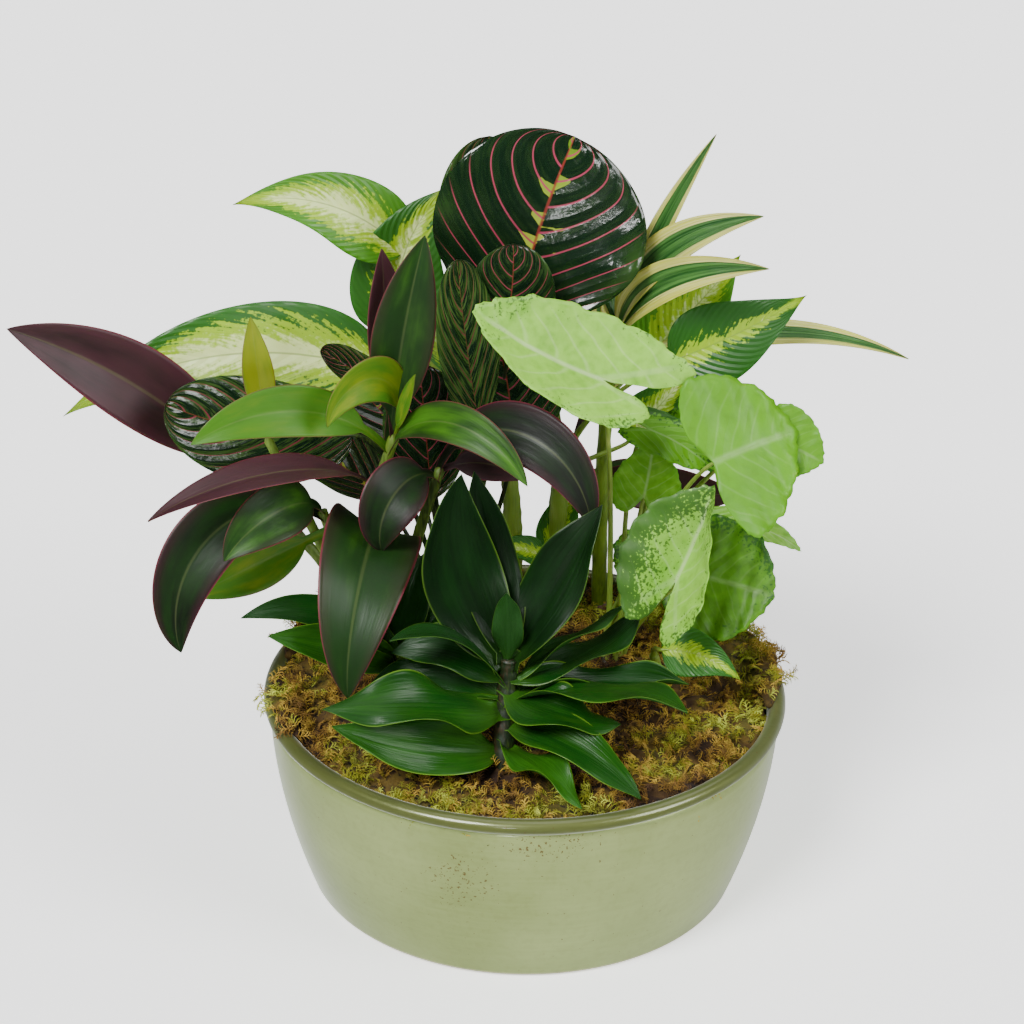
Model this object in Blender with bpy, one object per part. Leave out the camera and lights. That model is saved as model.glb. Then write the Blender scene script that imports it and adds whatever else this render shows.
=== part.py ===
"""Dish garden: foliage plants in a round glazed bowl, dressed with sheet moss.

Sizes are in millimetres and angles in degrees up to the point where a mesh is made in metres.
The origin is the middle of the bowl's foot, +Z is up, and the garden's front faces -Y.
Headings are counted from +X towards +Y, so 180 is left, 90 is the back and -90 is the front.
"""

import math
from dataclasses import dataclass

import bmesh
import bpy
import numpy as np

MM = 0.001
WELD_DISTANCE = 0.000001

# Bowl
RIM_RADIUS = 127
BOWL_HEIGHT = 98.5
RIM_ROLL_WIDTH = 8
RIM_ROLL_HEIGHT = 7
RIM_ROLL_ANGLES = (-35, 10, 50, 90, 130, 180)
NECK_RADIUS = 124
NECK_HEIGHT = 91
FOOT_RADIUS = 105
FOOT_ROUNDING = 3
SWELL = 1.8
OUTER_HEIGHTS = (FOOT_ROUNDING, 20, 40, 62, NECK_HEIGHT)
WALL = 6
FLOOR = 9
FLOOR_ROUNDING = 4
SOIL_TOP = 84
INNER_HEIGHTS = (15, 34, 60, SOIL_TOP, 90)
BOWL_SIDES = 36
SHARP_ANGLE = 40
GLAZE_COLOUR = (0.36, 0.4, 0.22)
GLAZE_ROUGHNESS = 0.25

# Fill
GAP = 0.3
ROOT_DEPTH = 60
CROWN_SHOULDER = 94
CROWN_TOP = 99
CROWN_TAPER = 0.7
CROWN_SIDES = 10
CANE_SINKS_IN = 6
STALK_SINKS_IN = 4
STALK_RING_INSET = 3.5
CUTTER_TOP = 125

# Sheet moss: its mounds are at the back right, left and back, each with its centre, spread and height
MOSS_EDGE_RADIUS = 117
MOSS_EDGE_HEIGHT = 92
MOSS_DOME = 3.5
MOSS_MOUNDS = (((98, 42), 26, 14), ((-102, 22), 22, 10), ((-20, 104), 30, 5))
MOSS_RINGS = (24, 48, 70, 90, 107)
MOSS_SECTORS = 36
SOIL_COLOUR = (0.05, 0.035, 0.025)
MOSS_COLOUR = (0.17, 0.14, 0.04)
FILL_ROUGHNESS = 0.95

# Leaves and stalks
BLADE_THICKNESS = 0.9
STALK_FOOT_RADIUS = 1.6
STALK_TIP_RADIUS = 1
STALK_END_RADIUS = 0.3
STALK_RUNS_IN = 0.1
STALK_BENDS = 5
STALK_ROUNDNESS = 0
STALK_RISE = 0.9
STALK_REACH = 0.5
CANE_BENDS = 5
CANE_ROUNDNESS = 1
MIDRIB_STEPS = 40
WAVE_OFFSET = 0.9
CREASE_SOFTNESS = 0.06
LEAF_END_WIDTH = 0.7
LOBE_REACH = 0.8
LOBED_WIDTH = 0.95
LOBED_RINGS = (0.5, 1)


@dataclass(frozen=True)
class Form:
    """How one kind of leaf is shaped."""

    colour: tuple
    roughness: float
    neck: float = 0.05
    stalk_share: float = 0.0
    swell: float = 0.5
    taper: float = 0.5
    fold: float = 10
    waves: float = 2
    wave: float = 0.03
    rows: tuple = (0, 0.15, 0.36, 0.6, 0.83, 1)
    outline: tuple = ()


DRAGON = Form((0.05, 0.16, 0.04), 0.3, neck=0.42, swell=0.8, taper=1, fold=16, waves=1.5, wave=0.2)
TI = Form((0.16, 0.1, 0.09), 0.35, neck=0.18, stalk_share=0.18, swell=0.7, taper=0.92, fold=14, waves=1)
PRAYER = Form((0.03, 0.09, 0.04), 0.3, neck=0.04, fold=7, waves=3, wave=0.02)
DUMB = Form((0.24, 0.42, 0.1), 0.4, neck=0.15, taper=1.3, fold=9, waves=2, wave=0.06)
STRIPED = Form((0.35, 0.45, 0.2), 0.4, neck=0.4, swell=0.6, taper=0.95, fold=16, waves=1.5)

# A lobed leaf's outline: degrees from the tip round the stalk's end, and reach as a share of the length
ARROW_OUTLINE = ((0, 1), (12, 0.9), (35, 0.72), (75, 0.52), (115, 0.52), (143, 0.6), (160, 0.68),
                 (170, 0.5), (180, 0.08))
HEART_OUTLINE = ((0, 1), (15, 0.84), (42, 0.64), (82, 0.53), (118, 0.49), (150, 0.45), (180, 0.1))
ARROW = Form((0.28, 0.45, 0.12), 0.45, fold=8, waves=3, wave=0.04, outline=ARROW_OUTLINE)
HEART = Form((0.28, 0.45, 0.12), 0.45, fold=8, waves=3, wave=0.04, outline=HEART_OUTLINE)


@dataclass(frozen=True)
class Leaf:
    """One leaf: its kind and size, the way it sets off, and how it bends on its way to the tip.

    A leaf with a place on a cane grows from it; one with a seat sits on a stalk that ends there.
    """

    form: Form
    length: float
    width: float
    heading: float
    rise: float
    droop: float = 0
    turn: float = 0
    roll: float = 0
    at: float = None
    seat: tuple = None
    lobes: tuple = (1, 1)
    fold: float = None
    wave: float = None
    shift: float = 0


@dataclass(frozen=True)
class Cane:
    """A stem from the crown up: three points that it passes, its radii and the leaves on it."""

    foot: tuple
    middle: tuple
    top: tuple
    foot_radius: float
    top_radius: float
    leaves: tuple = ()


@dataclass(frozen=True)
class Plant:
    """One rooted plant: its node name, the crown's place and radius, canes and stalked leaves."""

    name: str
    crown: tuple
    crown_radius: float
    form: Form
    canes: tuple = ()
    leaves: tuple = ()


ROSETTE = Plant(
    "dragon_plant_front", (-10, -69), 8, DRAGON,
    canes=(
        Cane((-10, -70, 95), (-9, -60, 124), (-8, -56, 144), 5.5, 4, leaves=(
            # Three broad blades that stand up
            Leaf(DRAGON, 100, 39, heading=155, rise=45, droop=-60, turn=10, roll=-60, at=0.95),
            Leaf(DRAGON, 92, 29, heading=115, rise=60, droop=-20, turn=20, roll=-20, at=0.95),
            Leaf(DRAGON, 89, 32, heading=20, rise=60, roll=35, at=0.9),
            # Blades that spread to the front
            Leaf(DRAGON, 95, 29, heading=-140, rise=30, droop=35, turn=-34, roll=-28, at=0.4, fold=6,
                 wave=0.5, shift=2),
            Leaf(DRAGON, 91, 27, heading=-145, rise=15, droop=-10, turn=-25, roll=-55, at=0.1, fold=20,
                 wave=0.3, shift=-1.6),
            Leaf(DRAGON, 60, 29, heading=-53, rise=0, droop=16, turn=72, roll=12, at=0.62, fold=6,
                 wave=0.31, shift=2.5),
            Leaf(DRAGON, 81, 24, heading=-40, rise=20, droop=60, turn=12, roll=20, at=0.3, fold=13,
                 wave=0.24, shift=3),
            Leaf(DRAGON, 63, 20, heading=-58, rise=21, droop=45, turn=8, at=0.12, fold=13, wave=0.5,
                 shift=1.5),
            # Short blades in the heart of the rosette
            Leaf(DRAGON, 77, 20, heading=-176, rise=71, droop=75, turn=36, at=0.6, fold=8, wave=0.07,
                 shift=0.7),
            Leaf(DRAGON, 60, 24, heading=-184, rise=50, droop=75, roll=-40, at=0.7, fold=14, wave=0.3,
                 shift=1.7),
            Leaf(DRAGON, 42, 15, heading=-100, rise=76, droop=-5, roll=10, at=0.96, wave=0.3),
            # Narrow blades to the sides
            Leaf(DRAGON, 70, 14, heading=16, rise=33, droop=26, turn=29, roll=-18, at=0.7, fold=6,
                 wave=0.39, shift=-2.6),
            Leaf(DRAGON, 101, 33, heading=-8, rise=23, droop=18, turn=-45, roll=-11, at=0.5, fold=6,
                 wave=0.21, shift=-0.5),
            Leaf(DRAGON, 90, 23, heading=16, rise=5, droop=17, turn=-2, roll=14, at=0.55, fold=45,
                 wave=0.5, shift=-1),
            Leaf(DRAGON, 77, 31, heading=15, rise=-2, droop=-29, turn=32, roll=-10, at=0.75, fold=6,
                 wave=0.22, shift=-2.7),
            Leaf(DRAGON, 71, 22, heading=165, rise=30, droop=65, turn=5, roll=-30, at=0.5),
        )),
    ),
)

SIDE_ROSETTE = Plant(
    "dragon_plant_side", (-62, -22), 6, DRAGON,
    canes=(
        Cane((-62, -22, 95), (-61, -28, 114), (-59, -34, 133), 4, 3.2, leaves=(
            Leaf(DRAGON, 85, 18, heading=180, rise=55, droop=70, turn=15, roll=-45, at=0.9),
            Leaf(DRAGON, 73, 22, heading=-150, rise=35, droop=20, turn=-10, roll=-60, at=0.8),
            Leaf(DRAGON, 55, 20, heading=75, rise=65, droop=40, at=0.9),
            Leaf(DRAGON, 50, 19, heading=35, rise=60, droop=50, roll=20, at=0.8),
            Leaf(DRAGON, 50, 18, heading=130, rise=45, droop=60, at=0.8),
        )),
    ),
)

TI_PLANT = Plant(
    "ti_plant", (-69, 38), 13, TI,
    canes=(
        # The tallest cane, with a hanging blade low on it
        Cane((-68, 34, 103), (-76, 16, 160), (-64, 4, 228), 3.6, 2.6, leaves=(
            Leaf(TI, 110, 25, heading=-150, rise=55, droop=85, turn=-10, roll=-60, at=0.95),
            Leaf(TI, 80, 22, heading=-125, rise=125, droop=200, turn=-15, roll=-80, at=1),
            Leaf(TI, 42, 8, heading=-55, rise=65, droop=-5, turn=10, roll=90, at=1),
            Leaf(TI, 107, 20, heading=-45, rise=75, droop=130, turn=15, roll=50, at=0.9),
            Leaf(TI, 133, 20, heading=-125, rise=45, droop=80, turn=-50, roll=-20, at=0.8),
            Leaf(TI, 106, 30, heading=45, rise=85, droop=15, roll=45, at=0.95),
            Leaf(TI, 90, 24, heading=105, rise=70, droop=-10, roll=20, at=1),
            Leaf(TI, 181, 47, heading=-80, rise=110, droop=210, turn=-30, roll=-20, at=0.15),
        )),
        # Two canes that lean left
        Cane((-71, 38, 98), (-85, 14, 150), (-98, 4, 189), 3.4, 2.6, leaves=(
            Leaf(TI, 75, 28, heading=-110, rise=50, droop=105, turn=-45, roll=-55, at=1),
            Leaf(TI, 127, 32, heading=-160, rise=40, droop=150, turn=30, roll=-50, at=0.95),
            Leaf(TI, 75, 26, heading=175, rise=-30, droop=-10, turn=30, roll=-65, at=0.85),
        )),
        Cane((-73, 42, 98), (-96, 28, 150), (-123, 8, 224), 3.4, 2.2, leaves=(
            Leaf(TI, 52, 22, heading=-165, rise=-30, droop=5, turn=5, roll=-50, at=0.9),
            Leaf(TI, 71, 15, heading=-110, rise=75, droop=-5, turn=-5, roll=-150, at=1),
        )),
        # The cane of the long blade that reaches far to the left
        Cane((-70, 44, 98), (-102, 52, 137), (-131, 52, 174), 3.2, 2.4, leaves=(
            Leaf(TI, 157, 40, heading=-170, rise=55, droop=30, turn=10, roll=-65, at=1),
        )),
        # The cane that leans right
        Cane((-65, 34, 102), (-56, 14, 158), (-42, 6, 211), 3.4, 2.4, leaves=(
            Leaf(TI, 122, 29, heading=-25, rise=80, droop=165, turn=-10, roll=50, at=0.95),
            Leaf(TI, 43, 17, heading=-5, rise=30, droop=65, turn=-5, roll=55, at=1),
            Leaf(TI, 65, 29, heading=-125, rise=50, droop=160, turn=-10, roll=-40, at=0.95),
        )),
    ),
)

BACK_TI_PLANT = Plant(
    "ti_plant_back", (17, 92), 6, TI,
    canes=(
        Cane((17, 92, 100), (14, 92, 153), (23, 90, 188), 3.4, 2.4, leaves=(
            Leaf(TI, 94, 24, heading=-15, rise=-5, droop=-10, roll=65, at=0.7),
            Leaf(TI, 107, 26, heading=135, rise=25, droop=100, roll=-80, at=0.9),
            Leaf(TI, 83, 26, heading=75, rise=35, droop=110, turn=5, roll=65, at=1),
            Leaf(TI, 100, 24, heading=35, rise=5, droop=70, turn=-5, roll=80, at=0.6),
        )),
    ),
)

PRAYER_PLANT = Plant(
    "prayer_plant", (-35, 50), 9, PRAYER,
    leaves=(
        # The round leaf at the top, with two behind and before it
        Leaf(PRAYER, 89, 101, heading=20, rise=80, droop=20, turn=20, roll=60, seat=(-7, 36, 279)),
        Leaf(PRAYER, 86, 54, heading=130, rise=80, droop=-5, turn=-15, roll=-30, seat=(-15, 60, 270)),
        Leaf(PRAYER, 51, 41, heading=-65, rise=65, droop=-30, turn=5, roll=150, seat=(-13, 26, 272)),
        # Leaves among the ti canes
        Leaf(PRAYER, 83, 31, heading=175, rise=80, droop=-5, turn=-5, roll=-55, seat=(-24, 10, 234)),
        Leaf(PRAYER, 68, 54, heading=165, rise=90, droop=20, turn=-5, roll=-65, seat=(-8, 36, 208)),
        Leaf(PRAYER, 94, 51, heading=-170, rise=0, droop=-30, turn=5, roll=-65, seat=(-85, 40, 212)),
        Leaf(PRAYER, 47, 22, heading=-175, rise=40, droop=5, turn=10, roll=-35, seat=(-63, 40, 231)),
        Leaf(PRAYER, 63, 41, heading=120, rise=80, turn=5, roll=-30, seat=(-47, 28, 189)),
        # Leaves on the back
        Leaf(PRAYER, 88, 66, heading=115, rise=45, droop=50, turn=5, seat=(-52, 92, 150)),
        Leaf(PRAYER, 84, 60, heading=160, rise=40, droop=45, seat=(-72, 66, 165)),
        Leaf(PRAYER, 86, 62, heading=95, rise=60, droop=50, seat=(-22, 96, 185)),
    ),
)

DUMB_CANE_LEFT = Plant(
    "dumb_cane_left", (-9, 62), 7, DUMB,
    canes=(
        Cane((-9, 62, 100), (-7, 60, 146), (-10, 60, 185), 5.5, 4, leaves=(
            Leaf(DUMB, 91, 38, heading=-175, rise=50, droop=60, turn=15, roll=-60, at=1,
                 seat=(-62, 72, 295)),
            Leaf(DUMB, 81, 47, heading=10, rise=105, droop=65, roll=75, at=1, seat=(-62, 70, 255)),
            Leaf(DUMB, 162, 51, heading=180, rise=20, droop=55, turn=10, roll=-60, at=0.9,
                 seat=(-73, 68, 233)),
            Leaf(DUMB, 32, 17, heading=-155, rise=30, droop=20, roll=-35, at=0.4, seat=(9, 52, 142)),
            Leaf(DUMB, 110, 50, heading=125, rise=50, droop=75, turn=5, at=1, seat=(-25, 88, 215)),
        )),
    ),
)

DUMB_CANE_RIGHT = Plant(
    "dumb_cane_right", (17, 68), 7, DUMB,
    canes=(
        Cane((17, 68, 100), (15, 66, 143), (17, 62, 184), 5.5, 4, leaves=(
            Leaf(DUMB, 72, 47, heading=0, rise=50, droop=-5, turn=-5, roll=75, at=1, seat=(57, 86, 234)),
            Leaf(DUMB, 74, 40, heading=-5, rise=25, droop=-15, turn=-10, roll=75, at=1, seat=(67, 40, 254)),
            Leaf(DUMB, 48, 27, heading=0, rise=55, droop=5, roll=70, at=0.9, seat=(49, 56, 204)),
            Leaf(DUMB, 43, 20, heading=25, rise=70, roll=55, at=0.3, seat=(11, 62, 139)),
            Leaf(DUMB, 106, 48, heading=115, rise=55, droop=80, at=1, seat=(12, 96, 212)),
        )),
    ),
)

SMALL_DUMB_CANE = Plant(
    "dumb_cane_small", (64, 2), 5, DUMB,
    canes=(
        Cane((64, 2, 95), (64, 0, 107), (62, -4, 118), 3, 2.2, leaves=(
            Leaf(DUMB, 42, 24, heading=-20, rise=15, droop=50, turn=-5, roll=60, at=1, seat=(65, -20, 130)),
        )),
    ),
)

ARROWHEAD_VINE = Plant(
    "arrowhead_vine", (43, 36), 9, ARROW,
    leaves=(
        Leaf(ARROW, 74, 55, heading=193, rise=25, droop=-19, turn=6, roll=-51, seat=(31, 2, 262),
             lobes=(0.56, 1), fold=26),
        Leaf(HEART, 30, 32, heading=-30, rise=80, droop=-5, roll=115, seat=(56, 26, 190)),
        Leaf(ARROW, 36, 20, heading=-15, rise=-15, droop=30, turn=5, roll=65, seat=(58, 20, 227),
             lobes=(0.7, 0.7)),
        Leaf(HEART, 23, 17, heading=-15, rise=65, turn=5, roll=85, seat=(66, 26, 219)),
        Leaf(HEART, 46, 74, heading=25, rise=15, droop=15, turn=10, roll=55, seat=(88, -2, 222),
             lobes=(0.45, 0.35)),
        Leaf(HEART, 26, 34, heading=-5, rise=-20, droop=10, roll=65, seat=(117, 20, 223)),
        Leaf(ARROW, 48, 64, heading=36, rise=59, droop=-19, turn=-21, roll=25,
             seat=(71, -22, 171), lobes=(0.97, 1.1), fold=46),
        Leaf(ARROW, 34, 58, heading=-15, rise=-5, droop=5, turn=-5, roll=60, seat=(86, -2, 160),
             lobes=(1, 0.9)),
        Leaf(HEART, 42, 14, heading=0, rise=0, droop=40, turn=-10, roll=45, seat=(94, 20, 179)),
        # Leaves on the back
        Leaf(ARROW, 52, 52, heading=35, rise=-5, droop=45, seat=(80, 60, 138)),
        Leaf(ARROW, 50, 50, heading=60, rise=-10, droop=45, seat=(72, 82, 130)),
    ),
)

STRIPED_DRAGON_PLANT = Plant(
    "striped_dragon_plant", (39, 92), 6, STRIPED,
    canes=(
        Cane((38, 92, 92), (37, 70, 192), (42, 58, 261), 4, 2.6, leaves=(
            Leaf(STRIPED, 113, 12, heading=-25, rise=75, droop=15, turn=25, roll=70, at=1),
            Leaf(STRIPED, 106, 22, heading=-45, rise=80, droop=70, turn=40, roll=60, at=1),
            Leaf(STRIPED, 104, 20, heading=-60, rise=65, droop=65, turn=45, roll=85, at=1),
            Leaf(STRIPED, 152, 15, heading=-5, rise=40, droop=60, turn=-5, roll=45, at=0.75),
            Leaf(STRIPED, 106, 16, heading=125, rise=65, droop=75, at=1),
            Leaf(STRIPED, 110, 17, heading=85, rise=65, droop=80, at=0.85),
            Leaf(STRIPED, 105, 16, heading=90, rise=45, droop=85, turn=5, at=0.7),
        )),
    ),
)

PLANTS = (ROSETTE, SIDE_ROSETTE, TI_PLANT, BACK_TI_PLANT, PRAYER_PLANT, DUMB_CANE_LEFT,
          DUMB_CANE_RIGHT, SMALL_DUMB_CANE, ARROWHEAD_VINE, STRIPED_DRAGON_PLANT)


def unit(vector):
    """The vector at length one."""
    return vector / np.linalg.norm(vector)


class Midrib:
    """The middle line of a blade: its heading and pitch change evenly from the foot to the tip."""

    def __init__(self, leaf, foot):
        self.leaf = leaf
        start = -LOBE_REACH if leaf.form.outline else 0
        self.shares = np.linspace(start, 1, MIDRIB_STEPS + 1)
        middles = (self.shares[:-1] + self.shares[1:]) / 2
        steps = [self.forward(share) * leaf.length * (1 - start) / MIDRIB_STEPS for share in middles]
        line = np.vstack([np.zeros(3), np.cumsum(steps, axis=0)])
        self.line = line - self.pick(line, 0) + np.array(foot, float)

    def pick(self, line, share):
        """The point of a line at a share of the blade's length."""
        return np.array([np.interp(share, self.shares, line[:, axis]) for axis in range(3)])

    def forward(self, share):
        """The way that the blade runs there."""
        heading = math.radians(self.leaf.heading + self.leaf.turn * share)
        pitch = math.radians(self.leaf.rise - self.leaf.droop * share)
        flat = math.cos(pitch)
        return np.array([math.cos(heading) * flat, math.sin(heading) * flat, math.sin(pitch)])

    def at(self, share):
        """The point there, with the directions along, across and out of the upper face."""
        heading = math.radians(self.leaf.heading + self.leaf.turn * share)
        along = self.forward(share)
        level = np.array([-math.sin(heading), math.cos(heading), 0])
        above = np.cross(along, level)
        roll = math.radians(self.leaf.roll)
        across = level * math.cos(roll) + above * math.sin(roll)
        upper = above * math.cos(roll) - level * math.sin(roll)
        return self.pick(self.line, share), along, across, upper


def half_width(leaf, share):
    """Half the width of a narrow or oval blade at a share of its length."""
    form = leaf.form
    half = leaf.width / 2
    if share >= 1:
        return LEAF_END_WIDTH
    if share <= form.stalk_share:
        return half * form.neck
    blade = (share - form.stalk_share) / (1 - form.stalk_share)
    widest = form.swell / (form.swell + form.taper)
    swelling = (blade / widest) ** form.swell * ((1 - blade) / (1 - widest)) ** form.taper
    return half * max(swelling, form.neck * (1 - blade) ** 3)


def blade_point(leaf, midrib, share, aside, margin):
    """A point of the blade: share of the length, distance aside, and nearness to the margin."""
    form = leaf.form
    point, _, across, upper = midrib.at(share)
    fold = math.radians(form.fold if leaf.fold is None else leaf.fold)
    half = leaf.width / 2
    soft = CREASE_SOFTNESS * half
    lift = math.sin(fold) * (math.hypot(aside, soft) - soft)
    phase = 2 * math.pi * form.waves * share + leaf.shift + (WAVE_OFFSET if aside > 0 else 0)
    wave = form.wave if leaf.wave is None else leaf.wave
    calm_tip = min(1, max(0, 4 * (1 - share)))
    lift += wave * half * margin ** 2 * math.sin(phase) * calm_tip
    return point + across * aside * math.cos(fold) + upper * lift


def narrow_blade(leaf, midrib):
    """Points and triangles of a narrow or oval blade, in rows from the foot to the tip."""
    form = leaf.form
    columns = (-1, 0, 1)
    shares = form.rows
    if form.stalk_share:
        blade = 1 - form.stalk_share
        shares = [0] + [form.stalk_share + blade * share for share in form.rows]
    points = []
    for share in shares:
        half = half_width(leaf, share)
        points += [blade_point(leaf, midrib, share, column * half, abs(column)) for column in columns]
    triangles = []
    for row in range(len(shares) - 1):
        left, middle, right = 3 * row, 3 * row + 1, 3 * row + 2
        triangles += [(left, left + 3, middle), (middle, left + 3, middle + 3)]
        triangles += [(middle, middle + 3, right + 3), (middle, right + 3, right)]
    return points, triangles


def lobed_blade(leaf, midrib):
    """Points and triangles of a lobed blade, in rings round the end of its stalk."""
    outline = leaf.form.outline
    turned = [(360 - angle, reach) for angle, reach in outline[-2:0:-1]]
    rays = list(outline) + turned
    spread = leaf.width / LOBED_WIDTH
    points = [blade_point(leaf, midrib, 0, 0, 0)]
    for ring in LOBED_RINGS:
        for angle, reach in rays:
            ahead = ring * reach * math.cos(math.radians(angle))
            if ahead < 0:
                ahead *= leaf.lobes[0] if angle < 180 else leaf.lobes[1]
            aside = ring * reach * math.sin(math.radians(angle)) * spread
            points.append(blade_point(leaf, midrib, ahead, aside, ring))
    count = len(rays)
    triangles = []
    for ray in range(count):
        after = (ray + 1) % count
        inner, inner_after = 1 + ray, 1 + after
        outer, outer_after = inner + count, inner_after + count
        triangles += [(0, inner, inner_after)]
        triangles += [(inner, outer, outer_after), (inner, outer_after, inner_after)]
    return points, triangles


def cane_line(cane):
    """Points along a cane, from inside the crown up to its growing tip."""
    foot, middle, top = (np.array(point, float) for point in (cane.foot, cane.middle, cane.top))
    pull = 2 * middle - (foot + top) / 2
    line = [np.array([foot[0], foot[1], CROWN_SHOULDER - CANE_SINKS_IN])]
    for share in np.linspace(0, 1, CANE_BENDS + 1):
        line.append(foot * (1 - share) ** 2 + pull * 2 * share * (1 - share) + top * share ** 2)
    return line


def cane_point(cane, share):
    """The point at a share of the cane's height, on the same bends that the cane has."""
    line = np.array(cane_line(cane)[1:])
    bends = np.linspace(0, 1, CANE_BENDS + 1)
    return np.array([np.interp(share, bends, line[:, axis]) for axis in range(3)])


def stalk_line(foot, leaf, midrib):
    """Points along a leaf's own stalk: up from its foot and round into the blade."""
    seat, along, _, upper = midrib.at(0)
    arrive = unit(along + upper) if leaf.form.outline else along
    span = np.linalg.norm(seat - foot)
    leave = np.array([0, 0, span * STALK_RISE])
    arrive = arrive * span * STALK_REACH
    line = []
    for t in np.linspace(0, 1, STALK_BENDS + 1):
        start = (2 * t ** 3 - 3 * t ** 2 + 1) * foot + (t ** 3 - 2 * t ** 2 + t) * leave
        end = (3 * t ** 2 - 2 * t ** 3) * seat + (t ** 3 - t ** 2) * arrive
        line.append(start + end)
    if not leaf.form.outline:
        line.append(midrib.at(STALK_RUNS_IN)[0])
    return line


def stalk_radii(line):
    """A stalk's radii: it tapers a little, and its end goes to a point inside the blade."""
    return [*np.linspace(STALK_FOOT_RADIUS, STALK_TIP_RADIUS, len(line) - 1), STALK_END_RADIUS]


def crown_feet(plant):
    """Feet of the stalks that rise from the crown, spaced evenly round it, each on its leaf's side."""
    x, y = plant.crown
    ring = plant.crown_radius - STALK_RING_INSET

    def side(leaf):
        return math.atan2(leaf.seat[1] - y, leaf.seat[0] - x)

    feet = {}
    in_turn = sorted(plant.leaves, key=side)
    for place, leaf in enumerate(in_turn):
        angle = side(in_turn[0]) + 2 * math.pi * place / len(in_turn)
        foot = (x + ring * math.cos(angle), y + ring * math.sin(angle), CROWN_SHOULDER - STALK_SINKS_IN)
        feet[leaf] = np.array(foot)
    return feet


def material(name, colour, roughness):
    """A plain finish with its own colour and roughness."""
    finish = bpy.data.materials.new(name)
    finish.use_nodes = True
    shader = finish.node_tree.nodes["Principled BSDF"]
    shader.inputs["Base Color"].default_value = (*colour, 1)
    shader.inputs["Roughness"].default_value = roughness
    return finish


def link(obj, collection=None):
    """Puts an object in a collection, or in the scene."""
    (collection or bpy.context.scene.collection).objects.link(obj)
    return obj


def mesh_object(name, points, faces, collection=None):
    """An object from points in millimetres."""
    mesh = bpy.data.meshes.new(name)
    mesh.from_pydata([tuple(np.asarray(point) * MM) for point in points], [], faces)
    mesh.validate()
    return link(bpy.data.objects.new(name, mesh), collection)


def blade_object(name, leaf, foot, collection):
    """A leaf's blade as a sheet with its thickness on both sides."""
    midrib = Midrib(leaf, foot)
    shape = lobed_blade if leaf.form.outline else narrow_blade
    obj = mesh_object(name, *shape(leaf, midrib), collection)
    solid = obj.modifiers.new("Thickness", "SOLIDIFY")
    solid.thickness = BLADE_THICKNESS * MM
    solid.offset = 0
    return obj


def tube_object(name, line, radii, roundness, collection):
    """A stem along a line, with a radius for each of its points."""
    curve = bpy.data.curves.new(name, "CURVE")
    curve.dimensions = "3D"
    curve.bevel_depth = MM
    curve.bevel_resolution = roundness
    curve.use_fill_caps = True
    spline = curve.splines.new("POLY")
    spline.points.add(len(line) - 1)
    for point, place, radius in zip(spline.points, line, radii):
        point.co = (*(place * MM), 1)
        point.radius = radius
    guide = link(bpy.data.objects.new(name + "_line", curve), collection)
    mesh = bpy.data.meshes.new_from_object(guide)
    bpy.data.objects.remove(guide)
    weld(mesh)
    return link(bpy.data.objects.new(name, mesh), collection)


def turned_object(name, profile, sides, centre=(0, 0), collection=None):
    """A solid turned about an upright axis, from a profile of radius and height."""
    form = bmesh.new()
    verts = [form.verts.new((radius * MM, 0, height * MM)) for radius, height in profile]
    edges = [form.edges.new(pair) for pair in zip(verts[:-1], verts[1:])]
    bmesh.ops.spin(form, geom=verts + edges, cent=(0, 0, 0), axis=(0, 0, 1),
                   angle=2 * math.pi, steps=sides, use_merge=True)
    bmesh.ops.remove_doubles(form, verts=form.verts, dist=WELD_DISTANCE)
    bmesh.ops.recalc_face_normals(form, faces=form.faces)
    bmesh.ops.translate(form, verts=form.verts, vec=(centre[0] * MM, centre[1] * MM, 0))
    mesh = bpy.data.meshes.new(name)
    form.to_mesh(mesh)
    form.free()
    return link(bpy.data.objects.new(name, mesh), collection)


def apply_modifiers(obj):
    """Replaces an object's mesh by the one its modifiers give."""
    bpy.context.view_layer.update()
    seen = obj.evaluated_get(bpy.context.evaluated_depsgraph_get())
    mesh = bpy.data.meshes.new_from_object(seen)
    obj.modifiers.clear()
    obj.data = mesh


def join(obj, collection, operation="UNION", solver="EXACT"):
    """Joins a collection's solids to an object, or cuts them from it, and removes them."""
    boolean = obj.modifiers.new("Join", "BOOLEAN")
    boolean.operation = operation
    boolean.operand_type = "COLLECTION"
    boolean.collection = collection
    boolean.solver = solver
    apply_modifiers(obj)
    for part in list(collection.objects):
        bpy.data.objects.remove(part)
    bpy.data.collections.remove(collection)


def weld(mesh):
    """Merges the points of a mesh that lie on each other."""
    form = bmesh.new()
    form.from_mesh(mesh)
    bmesh.ops.remove_doubles(form, verts=form.verts, dist=WELD_DISTANCE)
    form.to_mesh(mesh)
    form.free()


def keep_outside(mesh):
    """Keeps a mesh's largest shell, without the hollows and scraps that joining can leave."""
    form = bmesh.new()
    form.from_mesh(mesh)
    shells = []
    found = set()
    for vert in form.verts:
        if vert in found:
            continue
        shell = {vert}
        reached = [vert]
        while reached:
            here = reached.pop()
            for edge in here.link_edges:
                other = edge.other_vert(here)
                if other not in shell:
                    shell.add(other)
                    reached.append(other)
        found |= shell
        shells.append(shell)
    largest = max(shells, key=len)
    loose = [vert for vert in form.verts if vert not in largest]
    bmesh.ops.delete(form, geom=loose, context="VERTS")
    form.to_mesh(mesh)
    form.free()


def parts_collection(name):
    """A collection for the pieces of one Boolean."""
    collection = bpy.data.collections.new(name)
    bpy.context.scene.collection.children.link(collection)
    return collection


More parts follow.
